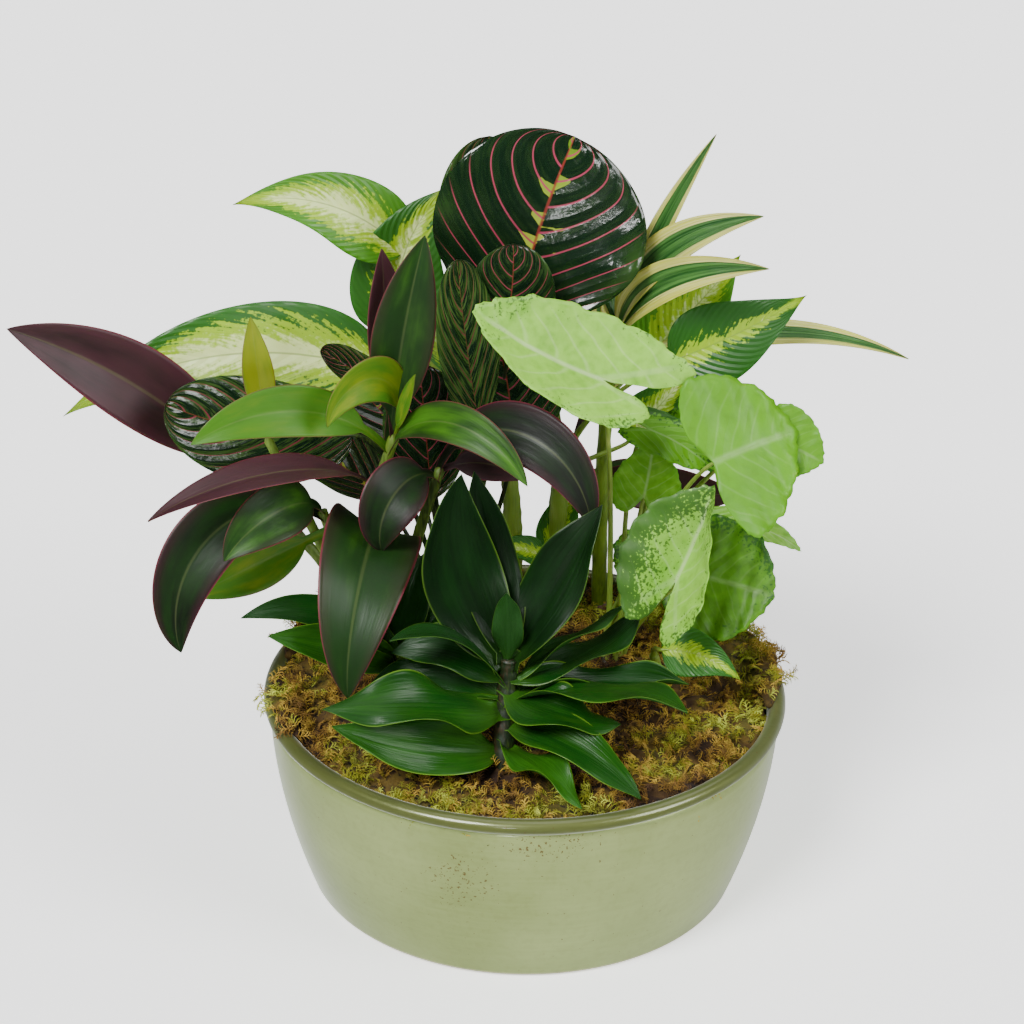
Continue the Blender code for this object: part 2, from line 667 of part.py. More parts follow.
def make_plant(plant):
    """One plant: crown, canes, stalks and leaves as one body."""
    radius = plant.crown_radius
    profile = ((0, ROOT_DEPTH), (radius, ROOT_DEPTH), (radius, CROWN_SHOULDER),
               (CROWN_TAPER * radius, (CROWN_SHOULDER + CROWN_TOP) / 2), (0, CROWN_TOP))
    body = turned_object(plant.name, profile, CROWN_SIDES, plant.crown)
    parts = parts_collection(plant.name + "_parts")
    for number, cane in enumerate(plant.canes):
        line = cane_line(cane)
        radii = np.linspace(cane.foot_radius, cane.top_radius, len(line))
        tube_object(f"cane_{number}", line, radii, CANE_ROUNDNESS, parts)
        for index, leaf in enumerate(cane.leaves):
            make_leaf(f"leaf_{number}_{index}", leaf, cane_point(cane, leaf.at), parts)
    feet = crown_feet(plant)
    for index, leaf in enumerate(plant.leaves):
        make_leaf(f"leaf_{index}", leaf, feet[leaf], parts)
    join(body, parts, solver="MANIFOLD")
    keep_outside(body.data)
    body.data.materials.clear()
    body.data.materials.append(material(plant.name, plant.form.colour, plant.form.roughness))


def make_leaf(name, leaf, foot, parts):
    """A leaf that grows at its foot, or whose stalk does."""
    if leaf.seat is None:
        blade_object(name, leaf, foot, parts)
        return
    blade_object(name, leaf, leaf.seat, parts)
    line = stalk_line(foot, leaf, Midrib(leaf, leaf.seat))
    tube_object(name + "_stalk", line, stalk_radii(line), STALK_ROUNDNESS, parts)


def wall_radius(height):
    """The bowl's outer radius: it swells from the foot and stands upright at the neck."""
    swell = max(0, 1 - height / NECK_HEIGHT) ** SWELL
    return NECK_RADIUS - (NECK_RADIUS - FOOT_RADIUS) * swell


def inner_wall(inset):
    """The wall's inner side from its lower corner up, drawn in by an inset."""
    corner = wall_radius(FLOOR) - WALL - inset - FLOOR_ROUNDING
    return [(corner, FLOOR + inset)] + [(wall_radius(z) - WALL - inset, z) for z in INNER_HEIGHTS]


def make_bowl():
    """A round pottery bowl with a small foot and a rolled rim."""
    outside = [(wall_radius(z), z) for z in OUTER_HEIGHTS]
    middle = (RIM_RADIUS - RIM_ROLL_WIDTH / 2, BOWL_HEIGHT - RIM_ROLL_HEIGHT / 2)
    rim = []
    for degrees in RIM_ROLL_ANGLES:
        angle = math.radians(degrees)
        rim.append((middle[0] + RIM_ROLL_WIDTH / 2 * math.cos(angle),
                    middle[1] + RIM_ROLL_HEIGHT / 2 * math.sin(angle)))
    floor = [(0, FLOOR)]
    foot = [(0, 0), (FOOT_RADIUS - FOOT_ROUNDING, 0)]
    profile = foot + outside + rim + inner_wall(0)[::-1] + floor
    bowl = turned_object("bowl", profile, BOWL_SIDES)
    bowl.data.shade_smooth()
    bowl.data.set_sharp_from_angle(angle=math.radians(SHARP_ANGLE))
    bowl.data.materials.append(material("sage_glaze", GLAZE_COLOUR, GLAZE_ROUGHNESS))


def crown_cutters(name):
    """Round cutters a little wider than the crowns, for the holes that the plants stand in."""
    cutters = parts_collection(name)
    for plant in PLANTS:
        radius = plant.crown_radius + GAP
        bottom = ROOT_DEPTH - GAP
        profile = ((0, bottom), (radius, bottom), (radius, CUTTER_TOP), (0, CUTTER_TOP))
        turned_object("cutter_" + plant.name, profile, CROWN_SIDES, plant.crown, cutters)
    return cutters


def make_soil():
    """Potting soil that fills the bowl, with a hole for each plant's roots."""
    wall = [point for point in inner_wall(GAP) if point[1] <= SOIL_TOP]
    profile = [(0, FLOOR + GAP)] + wall + [(0, SOIL_TOP)]
    soil = turned_object("potting_soil", profile, BOWL_SIDES)
    join(soil, crown_cutters("soil_holes"), "DIFFERENCE")
    soil.data.materials.append(material("potting_soil", SOIL_COLOUR, FILL_ROUGHNESS))


def moss_height(x, y):
    """The moss's upper side: small lumps and a few mounds over a gentle dome."""
    height = MOSS_EDGE_HEIGHT + MOSS_DOME * (1 - (math.hypot(x, y) / MOSS_EDGE_RADIUS) ** 2)
    height += 1.2 * math.sin(0.16 * x + 1.3) * math.cos(0.14 * y)
    height += 0.9 * math.sin(0.29 * y + 0.11 * x)
    height += 0.6 * math.sin(0.37 * x - 0.2 * y)
    for centre, spread, rise in MOSS_MOUNDS:
        away = math.hypot(x - centre[0], y - centre[1]) / spread
        height += rise * math.exp(-away * away)
    return height


def make_moss():
    """The sheet moss: a lumpy mat over the soil with a hole round each plant."""
    bottom = SOIL_TOP + GAP
    points = [(0, 0, moss_height(0, 0))]
    rings = MOSS_RINGS + (MOSS_EDGE_RADIUS,)
    angles = [2 * math.pi * sector / MOSS_SECTORS for sector in range(MOSS_SECTORS)]
    for radius in rings:
        for angle in angles:
            x, y = radius * math.cos(angle), radius * math.sin(angle)
            points.append((x, y, moss_height(x, y)))
    points += [(MOSS_EDGE_RADIUS * math.cos(a), MOSS_EDGE_RADIUS * math.sin(a), bottom) for a in angles]
    faces = []
    for sector in range(MOSS_SECTORS):
        after = (sector + 1) % MOSS_SECTORS
        faces.append((0, 1 + sector, 1 + after))
        for ring in range(len(rings)):
            inner = 1 + ring * MOSS_SECTORS
            outer = inner + MOSS_SECTORS
            faces.append((inner + sector, outer + sector, outer + after))
            faces.append((inner + sector, outer + after, inner + after))
    underside = 1 + len(rings) * MOSS_SECTORS
    faces.append(tuple(underside + sector for sector in reversed(range(MOSS_SECTORS))))
    moss = mesh_object("moss", points, faces)
    join(moss, crown_cutters("moss_holes"), "DIFFERENCE")
    moss.data.materials.append(material("sheet_moss", MOSS_COLOUR, FILL_ROUGHNESS))


def main():
    """Builds the bowl, its fill and the plants in an empty scene."""
    for obj in list(bpy.data.objects):
        bpy.data.objects.remove(obj)
    make_bowl()
    make_soil()
    make_moss()
    for plant in PLANTS:
        make_plant(plant)


main()
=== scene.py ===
"""The looks of a dish garden: foliage plants and sheet moss in a round glazed bowl.

Sizes are in millimetres and angles in degrees up to the point where a mesh is made in metres.
Headings are counted from +X towards +Y, so 180 is left, 90 is the back and -90 is the front.
"""

import logging
import math
from dataclasses import dataclass, field, replace
from enum import Enum
from functools import partial
from typing import Iterable, Sequence

import bmesh
import bpy
import numpy as np
from mathutils import Matrix, Vector, noise


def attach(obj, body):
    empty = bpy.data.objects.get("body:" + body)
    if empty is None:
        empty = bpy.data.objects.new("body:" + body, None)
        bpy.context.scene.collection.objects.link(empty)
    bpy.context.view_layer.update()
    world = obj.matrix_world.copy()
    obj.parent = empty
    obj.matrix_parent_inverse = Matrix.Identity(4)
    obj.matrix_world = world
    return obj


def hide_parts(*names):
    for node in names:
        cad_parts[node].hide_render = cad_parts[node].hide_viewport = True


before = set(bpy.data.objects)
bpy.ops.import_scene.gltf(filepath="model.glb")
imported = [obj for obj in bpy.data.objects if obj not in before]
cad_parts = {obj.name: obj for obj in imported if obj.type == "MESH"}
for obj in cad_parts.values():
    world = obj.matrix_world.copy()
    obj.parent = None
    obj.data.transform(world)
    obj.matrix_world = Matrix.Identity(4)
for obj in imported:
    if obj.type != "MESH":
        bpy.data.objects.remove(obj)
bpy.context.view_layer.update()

LOG = logging.getLogger("dish_garden")
MM = 0.001
BODY = "root"

# The way a leaf is described: the same measures as in the part
MIDRIB_STEPS = 60
WAVE_OFFSET = 0.9
CREASE_SOFTNESS = 0.06
LOBE_REACH = 0.8
LOBED_WIDTH = 0.95
CROWN_SHOULDER = 94
CANE_SINKS_IN = 6
STALK_SINKS_IN = 4
STALK_RING_INSET = 3.5

# The fine surface: points along a stem, a blade's ribs, the ridge of its midrib and its thin margin
STALK_STEPS = 22
CANE_STEPS = 30
RIB_STAGGER = 0.22
RIDGE_DEPTH = 0.5
RIDGE_WIDTH = 0.06
MARGIN_THINNING = 0.75
LEAF_BUMP = 0.0004
LEAF_SEED_STEP = 3.7
SHARP_ANGLE = 50

# Moss sprigs grow on faces that point up this much, thicker where a noise of this scale is high
UPWARD = 0.3
CLUMP_SCALE = 75
CLUMP_EDGES = (0.42, 0.55)

# The studio is bright and its tone curve pale: base colours are so much deeper than what is shown
DEPTH = 0.85
STEEPNESS = 1.22
RICHNESS = 1.15

Colour = tuple[float, float, float]
Point = Sequence[float]


def display(red: int, green: int, blue: int) -> Colour:
    """The base colour that shows in the studio as the given screen colour, 0 to 255.

    Args:
        red: Its red part.
        green: Its green part.
        blue: Its blue part.

    Returns:
        The linear red, green and blue.
    """
    shares = [value / 255 for value in (red, green, blue)]
    linear = [s / 12.92 if s <= 0.04045 else ((s + 0.055) / 1.055) ** 2.4 for s in shares]
    steep = [value ** STEEPNESS for value in linear]
    grey = sum(steep) / 3
    return tuple(max(0.002, grey + (value - grey) * RICHNESS) * DEPTH for value in steep)


class Signal:
    """A value that changes over a surface: a socket of a shader tree, used in plain arithmetic."""

    def __init__(self, brush: "Brush", socket: bpy.types.NodeSocket) -> None:
        """Holds the socket with the brush that goes on from it."""
        self.brush = brush
        self.socket = socket

    def __add__(self, other: "Signal | float") -> "Signal":
        """The sum."""
        return self.brush.math("ADD", self, other)

    def __sub__(self, other: "Signal | float") -> "Signal":
        """The difference."""
        return self.brush.math("SUBTRACT", self, other)

    def __rsub__(self, other: float) -> "Signal":
        """The difference from a number."""
        return self.brush.math("SUBTRACT", other, self)

    def __mul__(self, other: "Signal | float") -> "Signal":
        """The product."""
        return self.brush.math("MULTIPLY", self, other)

    def __pow__(self, other: float) -> "Signal":
        """The power."""
        return self.brush.math("POWER", self, other)

    def __abs__(self) -> "Signal":
        """The size without its sign."""
        return self.brush.math("ABSOLUTE", self)

    def most(self, other: "Signal | float") -> "Signal":
        """The larger of the two."""
        return self.brush.math("MAXIMUM", self, other)

    def least(self, other: "Signal | float") -> "Signal":
        """The smaller of the two."""
        return self.brush.math("MINIMUM", self, other)

    def to_whole(self) -> "Signal":
        """How far it is from the nearest whole number: 0 to 0.5."""
        return self.brush.math("PINGPONG", self, 0.5)

    def over(self, low: "Signal | float", high: "Signal | float") -> "Signal":
        """0 below the low value and 1 above the high one, with a soft step between.

        Args:
            low: Where the step starts.
            high: Where it ends.

        Returns:
            The step.
        """
        node = self.brush.node("ShaderNodeMapRange")
        node.interpolation_type = "SMOOTHSTEP"
        for name, value in (("Value", self), ("From Min", low), ("From Max", high)):
            self.brush.feed(value, node.inputs[name])
        return Signal(self.brush, node.outputs["Result"])


class Brush:
    """Adds nodes to a shader tree."""

    def __init__(self, tree: bpy.types.NodeTree) -> None:
        """Takes up the tree."""
        self.tree = tree

    def node(self, kind: str) -> bpy.types.Node:
        """A new node of that kind."""
        return self.tree.nodes.new(kind)

    def feed(self, value: "Signal | float | Colour", socket: bpy.types.NodeSocket) -> None:
        """Gives a socket its value or its link.

        Args:
            value: A signal, a number or a colour.
            socket: The input that takes it.
        """
        if isinstance(value, Signal):
            self.tree.links.new(value.socket, socket)
        elif socket.type == "RGBA":
            socket.default_value = (*value, 1)
        else:
            socket.default_value = value

    def math(self, operation: str, first: "Signal | float", second: "Signal | float" = 0) -> Signal:
        """One step of arithmetic.

        Args:
            operation: The math node's operation.
            first: Its first value.
            second: Its second value.

        Returns:
            The result.
        """
        node = self.node("ShaderNodeMath")
        node.operation = operation
        self.feed(first, node.inputs[0])
        self.feed(second, node.inputs[1])
        return Signal(self, node.outputs[0])

    def attribute(self, name: str) -> Signal:
        """A mesh's own attribute, as a vector."""
        node = self.node("ShaderNodeAttribute")
        node.attribute_name = name
        return Signal(self, node.outputs["Vector"])

    def position(self) -> Signal:
        """The point on the object, in metres."""
        return Signal(self, self.node("ShaderNodeTexCoord").outputs["Object"])

    def split(self, vector: Signal) -> tuple[Signal, Signal, Signal]:
        """A vector's three parts."""
        node = self.node("ShaderNodeSeparateXYZ")
        self.feed(vector, node.inputs[0])
        return tuple(Signal(self, socket) for socket in node.outputs)

    def vector(self, x: "Signal | float", y: "Signal | float", z: "Signal | float" = 0) -> Signal:
        """A vector of three parts."""
        node = self.node("ShaderNodeCombineXYZ")
        for value, socket in zip((x, y, z), node.inputs):
            self.feed(value, socket)
        return Signal(self, node.outputs[0])

    def noise(self, vector: Signal, scale: float, detail: float = 2, roughness: float = 0.5) -> Signal:
        """Soft noise, about 0.5 on average.

        Args:
            vector: Where it is read.
            scale: How fine it is.
            detail: How many finer layers it has.
            roughness: How strong those are.

        Returns:
            The noise.
        """
        node = self.node("ShaderNodeTexNoise")
        for name, value in (("Vector", vector), ("Scale", scale), ("Detail", detail)):
            self.feed(value, node.inputs[name])
        self.feed(roughness, node.inputs["Roughness"])
        return Signal(self, node.outputs["Fac"])

    def mottle(self, position: Signal, scale: float, detail: float) -> Signal:
        """Soft patches, from the group that the finishes share.

        Args:
            position: Where they are read.
            scale: How fine they are.
            detail: How many finer layers they have.

        Returns:
            The patches, 0 to 1.
        """
        tree = Effects.tree(Effect.MOTTLE)
        return self.group(tree, Position=position, Scale=scale, Detail=detail)["Value"]

    def mix(self, share: "Signal | float", first: "Signal | Colour", second: "Signal | Colour") -> Signal:
        """The first colour, turning to the second as the share goes from 0 to 1.

        Args:
            share: How much of the second colour there is.
            first: The colour at 0.
            second: The colour at 1.

        Returns:
            The mixed colour.
        """
        node = self.node("ShaderNodeMix")
        node.data_type = "RGBA"
        self.feed(share, node.inputs[0])
        self.feed(first, node.inputs[6])
        self.feed(second, node.inputs[7])
        return Signal(self, node.outputs[2])

    def ramp(self, share: Signal, colours: Sequence[Colour]) -> Signal:
        """Colours spaced evenly from 0 to 1.

        Args:
            share: The place between the first colour and the last.
            colours: The colours in turn.

        Returns:
            The colour there.
        """
        result = colours[0]
        last = len(colours) - 1
        for index, colour in enumerate(colours[1:]):
            result = self.mix(share.over(index / last, (index + 1) / last), result, colour)
        return result

    def bump(self, height: Signal, distance: float) -> Signal:
        """The normal over a relief.

        Args:
            height: The relief, from 0 to 1.
            distance: Its depth in metres.

        Returns:
            The normal.
        """
        node = self.node("ShaderNodeBump")
        self.feed(height, node.inputs["Height"])
        self.feed(distance, node.inputs["Distance"])
        return Signal(self, node.outputs["Normal"])

    def group(self, tree: bpy.types.NodeTree, **values: "Signal | float") -> dict[str, Signal]:
        """Places a node group.

        Args:
            tree: The group.
            values: What its inputs get.

        Returns:
            Its outputs by name.
        """
        node = self.node("ShaderNodeGroup")
        node.node_tree = tree
        for name, value in values.items():
            self.feed(value, node.inputs[name])
        return {socket.name: Signal(self, socket) for socket in node.outputs}


class Effect(Enum):
    """Shader effects that several finishes share, by the name of their node group."""

    RIBS = "lateral_ribs"
    NERVES = "parallel_nerves"
    MOTTLE = "mottle"


class Effects:
    """Builds each shared shader group once."""

    INPUTS = {
        Effect.RIBS: ("Across", "Along", "Count", "Slant", "Bend", "Wobble", "Seed"),
        Effect.NERVES: ("Across", "Along", "Count", "Seed"),
        Effect.MOTTLE: ("Position", "Scale", "Detail"),
    }
    OUTPUTS = {
        Effect.RIBS: ("Distance", "Phase"),
        Effect.NERVES: ("Line",),
        Effect.MOTTLE: ("Value",),
    }

    @classmethod
    def tree(cls, effect: Effect) -> bpy.types.NodeTree:
        """The group of an effect.

        Args:
            effect: Which one.

        Returns:
            Its node tree, made on the first call.
        """
        found = bpy.data.node_groups.get(effect.value)
        if found:
            return found
        tree = bpy.data.node_groups.new(effect.value, "ShaderNodeTree")
        for name in cls.INPUTS[effect]:
            kind = "NodeSocketVector" if name == "Position" else "NodeSocketFloat"
            tree.interface.new_socket(name, in_out="INPUT", socket_type=kind)
        for name in cls.OUTPUTS[effect]:
            tree.interface.new_socket(name, in_out="OUTPUT", socket_type="NodeSocketFloat")
        brush = Brush(tree)
        inputs = brush.node("NodeGroupInput").outputs
        values = {name: Signal(brush, inputs[name]) for name in cls.INPUTS[effect]}
        results = getattr(cls, effect.value)(brush, **values)
        outputs = brush.node("NodeGroupOutput").inputs
        for name, result in zip(cls.OUTPUTS[effect], results):
            brush.feed(result, outputs[name])
        return tree

    @staticmethod
    def lateral_ribs(brush: Brush, Across: Signal, Along: Signal, Count: Signal, Slant: Signal,
                     Bend: Signal, Wobble: Signal, Seed: Signal) -> tuple[Signal, ...]:
        """Side ribs that leave the midrib and bend towards the tip.

        Args:
            brush: The group's brush.
            Across: From the midrib, 0, to the margins, -1 and 1.
            Along: From the foot, 0, to the tip, 1.
            Count: Ribs along the midrib.
            Slant: How far along a rib runs on its way out.
            Bend: How it bends: 1 is straight.
            Wobble: How far it strays, in spaces between ribs.
            Seed: The leaf's own number.

        Returns:
            The distance from the nearest rib in spaces, and the rib's place.
        """
        side = abs(Across)
        stray = brush.noise(brush.vector(Across, Along, Seed), 2.2, 1) - 0.5
        phase = (Along - brush.math("POWER", side, Bend) * Slant) * Count + stray * Wobble
        phase = phase + brush.math("SIGN", Across) * RIB_STAGGER
        return phase.to_whole(), phase

    @staticmethod
    def parallel_nerves(brush: Brush, Across: Signal, Along: Signal, Count: Signal,
                        Seed: Signal) -> tuple[Signal, ...]:
        """Fine lines that run the length of a blade.

        Args:
            brush: The group's brush.
            Across: From the midrib, 0, to the margins, -1 and 1.
            Along: From the foot, 0, to the tip, 1.
            Count: How fine they are.
            Seed: The leaf's own number.

        Returns:
            The lines, 0 to 1.
        """
        place = brush.vector(Across * Count, Along * 1.5, Seed)
        return (brush.noise(place, 1, 3, 0.6).over(0.3, 0.7),)

    @staticmethod
    def mottle(brush: Brush, Position: Signal, Scale: Signal, Detail: Signal) -> tuple[Signal, ...]:
        """Soft patches.

        Args:
            brush: The group's brush.
            Position: Where it is read.
            Scale: How fine it is.
            Detail: How many finer layers it has.

        Returns:
            The patches, 0 to 1.
        """
        return (brush.noise(Position, Scale, Detail).over(0.3, 0.7),)


@dataclass(frozen=True)
class Finish:
    """A surface finish: what one material looks like."""

    name: str
    roughness: float = 0.5

    def material(self) -> bpy.types.Material:
        """The finish's material, made on the first call."""
        title = self.name + "_finish"
        found = bpy.data.materials.get(title)
        if found:
            return found
        material = bpy.data.materials.new(title)
        material.use_nodes = True
        shader = material.node_tree.nodes["Principled BSDF"]
        shader.inputs["Roughness"].default_value = self.roughness
        self.paint(Brush(material.node_tree), shader)
        return material

    def paint(self, brush: Brush, shader: bpy.types.Node) -> None:
        """Sets the shader's colour and relief."""
        raise NotImplementedError


@dataclass
class Spot:
    """What a leaf's finish knows about a point of the blade."""

    across: Signal
    along: Signal
    margin: Signal
    tone: Signal
    marks: Signal
    seed: Signal
    under: Signal
    position: Signal
    side: Signal

    def seeded(self, brush: Brush, across: float, along: float) -> Signal:
        """A place on the blade for noise, different on each leaf, stretched by two factors."""
        return brush.vector(self.across * across, self.along * along, self.seed)

    def nerves(self, brush: Brush, count: float) -> Signal:
        """Fine lines that run the length of the blade, 0 to 1; a higher count makes them finer."""
        return brush.group(Effects.tree(Effect.NERVES), Across=self.across, Along=self.along,
                           Count=count, Seed=self.seed)["Line"]

    def ribs(self, brush: Brush, count: float, slant: float, bend: float,
             wobble: float) -> dict[str, Signal]:
        """The blade's side ribs.

        Args:
            brush: The material's brush.
            count: Ribs along the midrib.
            slant: How far along a rib runs on its way out.
            bend: How it bends: 1 is straight.
            wobble: How far it strays, in spaces between ribs.

        Returns:
            The distance from the nearest rib in spaces, and the rib's place.
        """
        return brush.group(Effects.tree(Effect.RIBS), Across=self.across, Along=self.along, Count=count,
                           Slant=slant, Bend=bend, Wobble=wobble, Seed=self.seed)


@dataclass(frozen=True)
class LeafFinish(Finish):
    """The finish of one kind of leaf."""

    gloss: float = 0.5
    glow: float = 0.12
    back: Colour = (0.2, 0.35, 0.1)
    back_share: float = 0.5

    def paint(self, brush: Brush, shader: bpy.types.Node) -> None:
        """Sets the leaf's colours, its gloss and its fine relief.

        Args:
            brush: The material's brush.
            shader: Its shader.
        """
        place = brush.split(brush.attribute("place"))
        look = brush.split(brush.attribute("look"))
        under = brush.split(brush.attribute("under"))[0]
        spot = Spot(*place, *look, under, brush.position(), abs(place[0]))
        colour, relief = self.pattern(brush, spot)
        tint = brush.mottle(spot.position, 35, 3)
        colour = brush.mix(tint * 0.14, colour, (0.01, 0.02, 0.005))
        colour = brush.mix(under * self.back_share, colour, self.back)
        brush.feed(colour, shader.inputs["Base Color"])
        brush.feed(under * 0.2 + self.roughness + tint * 0.08, shader.inputs["Roughness"])
        brush.feed(brush.bump(relief, LEAF_BUMP), shader.inputs["Normal"])
        shader.inputs["Specular IOR Level"].default_value = self.gloss
        shader.inputs["Subsurface Weight"].default_value = self.glow
        shader.inputs["Subsurface Radius"].default_value = (0.3, 0.6, 0.1)
        shader.inputs["Subsurface Scale"].default_value = 0.002

    def pattern(self, brush: Brush, spot: Spot) -> tuple[Signal, Signal]:
        """The upper side's colour and its fine relief."""
        raise NotImplementedError


@dataclass(frozen=True)
class DragonFinish(LeafFinish):
    """Dark glossy green with thin, paler margins."""

    def pattern(self, brush: Brush, spot: Spot) -> tuple[Signal, Signal]:
        """Dark to middle green by tone, lengthwise nerves and a pale edge by marks.

        Args:
            brush: The material's brush.
            spot: The point of the blade.

        Returns:
            The colour and the relief.
        """
        greens = (display(14, 36, 22), display(36, 78, 34), display(76, 130, 48))
        nerves = spot.nerves(brush, 9)
        broad = brush.noise(spot.seeded(brush, 1.5, 2.5), 1.2, 2) - 0.5
        colour = brush.ramp(spot.tone + broad * 0.3 + nerves * 0.06, greens)
        edge = spot.side.over(0.945, 0.995) * (spot.marks * 0.7 + 0.2)
        colour = brush.mix(edge, colour, display(140, 176, 84))
        foot = 1 - spot.along.over(0.02, 0.25)
        colour = brush.mix(foot * spot.tone * 0.6, colour, display(96, 140, 56))
        return colour, nerves * 0.3 + broad


@dataclass(frozen=True)
class TiFinish(LeafFinish):
    """Olive to green to maroon by tone, with thin pink margins."""

    def pattern(self, brush: Brush, spot: Spot) -> tuple[Signal, Signal]:
        """Lengthwise nerves, blushes of the next tone and a pink edge by marks.

        Args:
            brush: The material's brush.
            spot: The point of the blade.

        Returns:
            The colour and the relief.
        """
        colours = (display(150, 160, 66), display(90, 134, 54), display(40, 72, 32),
                   display(32, 34, 30), display(84, 56, 62))
        blush = brush.noise(spot.seeded(brush, 1.2, 3), 1.4, 3) - 0.5
        nerves = spot.nerves(brush, 6)
        outward = spot.side.over(0.5, 1.1) * 0.14 * spot.marks
        tone = spot.tone + blush * 0.34 + nerves * 0.03 + outward
        colour = brush.ramp(tone, colours)
        midrib = 1 - spot.side.over(0.015, 0.06)
        colour = brush.mix(midrib * 0.14, colour, display(150, 160, 110))
        blushed = spot.side.over(0.5, 1.0) * (spot.tone * 1.4 - 0.3).over(0, 0.5) * (blush + 0.6)
        colour = brush.mix(blushed * 0.5, colour, display(96, 56, 68))
        edge = spot.side.over(0.94, 0.99) * (spot.marks * 0.6 + 0.3)
        colour = brush.mix(edge, colour, display(140, 66, 84))
        return colour, nerves * 0.08 + blush


@dataclass(frozen=True)
class PrayerFinish(LeafFinish):
    """Very dark green with red side ribs and a yellow-green splash along the midrib."""

    def pattern(self, brush: Brush, spot: Spot) -> tuple[Signal, Signal]:
        """Ribs that bend towards the tip, paler feathering between them and the splash.

        Args:
            brush: The material's brush.
            spot: The point of the blade.

        Returns:
            The colour and the relief.
        """
        ribs = spot.ribs(brush, count=7, slant=0.5, bend=1.35, wobble=0.12)
        away = ribs["Distance"]
        fine = brush.noise(brush.vector(spot.across * 3, ribs["Phase"] * 5, spot.seed), 1.5, 3)
        broad = brush.noise(spot.seeded(brush, 1, 2), 1.3, 2)
        colour = brush.mix(fine, display(26, 46, 32), display(36, 60, 40))
        outer = spot.side.over(0.7, 1.0) * broad.over(0.35, 0.7)
        colour = brush.mix(outer * 0.7, colour, display(78, 108, 58))
        feather = (fine - 0.22 - away * 0.4).over(0.1, 0.3) * spot.tone
        colour = brush.mix(feather * 0.7, colour, display(104, 132, 74))
        jag = ((0.5 - away) * 3.2 - 0.6).most(0)
        chosen = brush.noise(brush.vector(0, spot.along * 9, spot.seed), 1, 1).over(0.4, 0.55)
        reach = (spot.marks * 0.24 * jag + (fine - 0.5) * 0.14) * chosen * spot.marks.over(0.1, 0.4)
        splash = (reach - spot.side).over(-0.004, 0.01) * spot.along.over(0.02, 0.1)
        light = brush.mix(spot.along, display(206, 212, 112), display(112, 146, 60))
        colour = brush.mix(splash, colour, light)
        wide = 0.064 - spot.side * 0.022
        rib = 1 - away.over(wide * 0.35, wide)
        rib = rib * (1 - spot.side.over(0.8, 1.0))
        red = brush.mix(spot.tone, display(184, 94, 116), display(100, 52, 56))
        colour = brush.mix(rib * 0.95, colour, red)
        midrib = 1 - spot.side.over(0.006, 0.02)
        middle = brush.mix(spot.tone, display(160, 76, 76), display(96, 84, 60))
        colour = brush.mix(midrib * 0.8, colour, middle)
        crumple = brush.noise(spot.position, 150, 3)
        return colour, away * 2 + crumple * 1.1


@dataclass(frozen=True)
class DumbCaneFinish(LeafFinish):
    """Green margins that feather into a cream middle."""

    def pattern(self, brush: Brush, spot: Spot) -> tuple[Signal, Signal]:
        """The cream middle by marks, with speckles on the way to the green.

        Args:
            brush: The material's brush.
            spot: The point of the blade.

        Returns:
            The colour and the relief.
        """
        ribs = spot.ribs(brush, count=16, slant=0.34, bend=1.2, wobble=0.4)
        streak = brush.noise(brush.vector(spot.side * 3, ribs["Phase"] * 2.4, spot.seed), 1, 3)
        speck = brush.noise(spot.position, 520, 2)
        broad = brush.noise(spot.seeded(brush, 1, 3), 1.2, 1)
        greens = (display(40, 88, 46), display(72, 128, 54), display(112, 168, 62))
        green = brush.ramp(spot.tone, greens)
        green = brush.mix(ribs["Distance"] * 0.3, green, display(36, 84, 40))
        reach = spot.marks + (streak - 0.5) * 0.9 + (broad - 0.5) * 0.4 + (speck - 0.5) * 0.55
        inside = (reach - spot.side) * (1 - spot.along.over(0.7, 0.95))
        colour = brush.mix(inside.over(-0.08, 0.02), green, display(176, 206, 80))
        cream = (inside - (1 - spot.marks) * 0.34).over(0.0, 0.3)
        colour = brush.mix(cream, colour, display(236, 248, 184))
        midrib = 1 - spot.side.over(0.008, 0.028)
        colour = brush.mix(midrib * 0.6, colour, display(150, 176, 96))
        return colour, 1 - ribs["Distance"]


@dataclass(frozen=True)
class ArrowheadFinish(LeafFinish):
    """Pale green with whiter veins and dark speckles near the margins."""

    def pattern(self, brush: Brush, spot: Spot) -> tuple[Signal, Signal]:
        """Veins from the stalk's end, speckles by marks, a base by tone and a slight painted shade between
        the veins.

        Args:
            brush: The material's brush.
            spot: The point of the blade.

        Returns:
            The colour and the relief.
        """
        ribs = spot.ribs(brush, count=4.2, slant=0.62, bend=1.3, wobble=0.7)
        patch = brush.noise(spot.position, 60, 3)
        greens = (display(172, 218, 112), display(118, 172, 56), display(84, 122, 32))
        mottle = brush.noise(spot.position, 210, 4)
        # Nearness to a vein: it shapes the puffed relief, and in the colour it paints a slight shade between
        # the veins
        vein_puff_and_shade = 1 - ribs["Distance"].over(0.0, 0.9)
        colour = brush.ramp(spot.tone + (patch - 0.5) * 0.3 + (mottle - 0.5) * 0.5 - vein_puff_and_shade * 0.06, greens)
        vein = 1 - ribs["Distance"].over(0.0, 0.11)
        midrib = 1 - spot.side.over(0.01, 0.07)
        basal = 1 - abs(spot.side * 0.9 + spot.along).over(0.02, 0.08)
        pale = vein.most(basal * 0.9) * (0.26 - spot.tone * 0.34).most(0.04)
        pale = pale.most(midrib * (0.5 - spot.tone * 0.6).most(0.1)) * (1 - spot.margin.over(0.7, 1))
        colour = brush.mix(pale, colour, display(224, 236, 200))
        speck = brush.noise(spot.position, 640, 2)
        shade = spot.margin.over(0.3, 1.05) * 0.5 + (patch - 0.5) * 0.9 - 0.52 + spot.marks * 0.4
        shade = shade + spot.across * 0.3 * spot.marks
        dark = (shade + (speck - 0.5) * 1.5).over(0.12, 0.34) * spot.marks.over(0.0, 0.3)
        colour = brush.mix(dark * 0.85, colour, display(52, 98, 42))
        return colour, (1 - vein_puff_and_shade) * 0.9 + mottle * 0.6


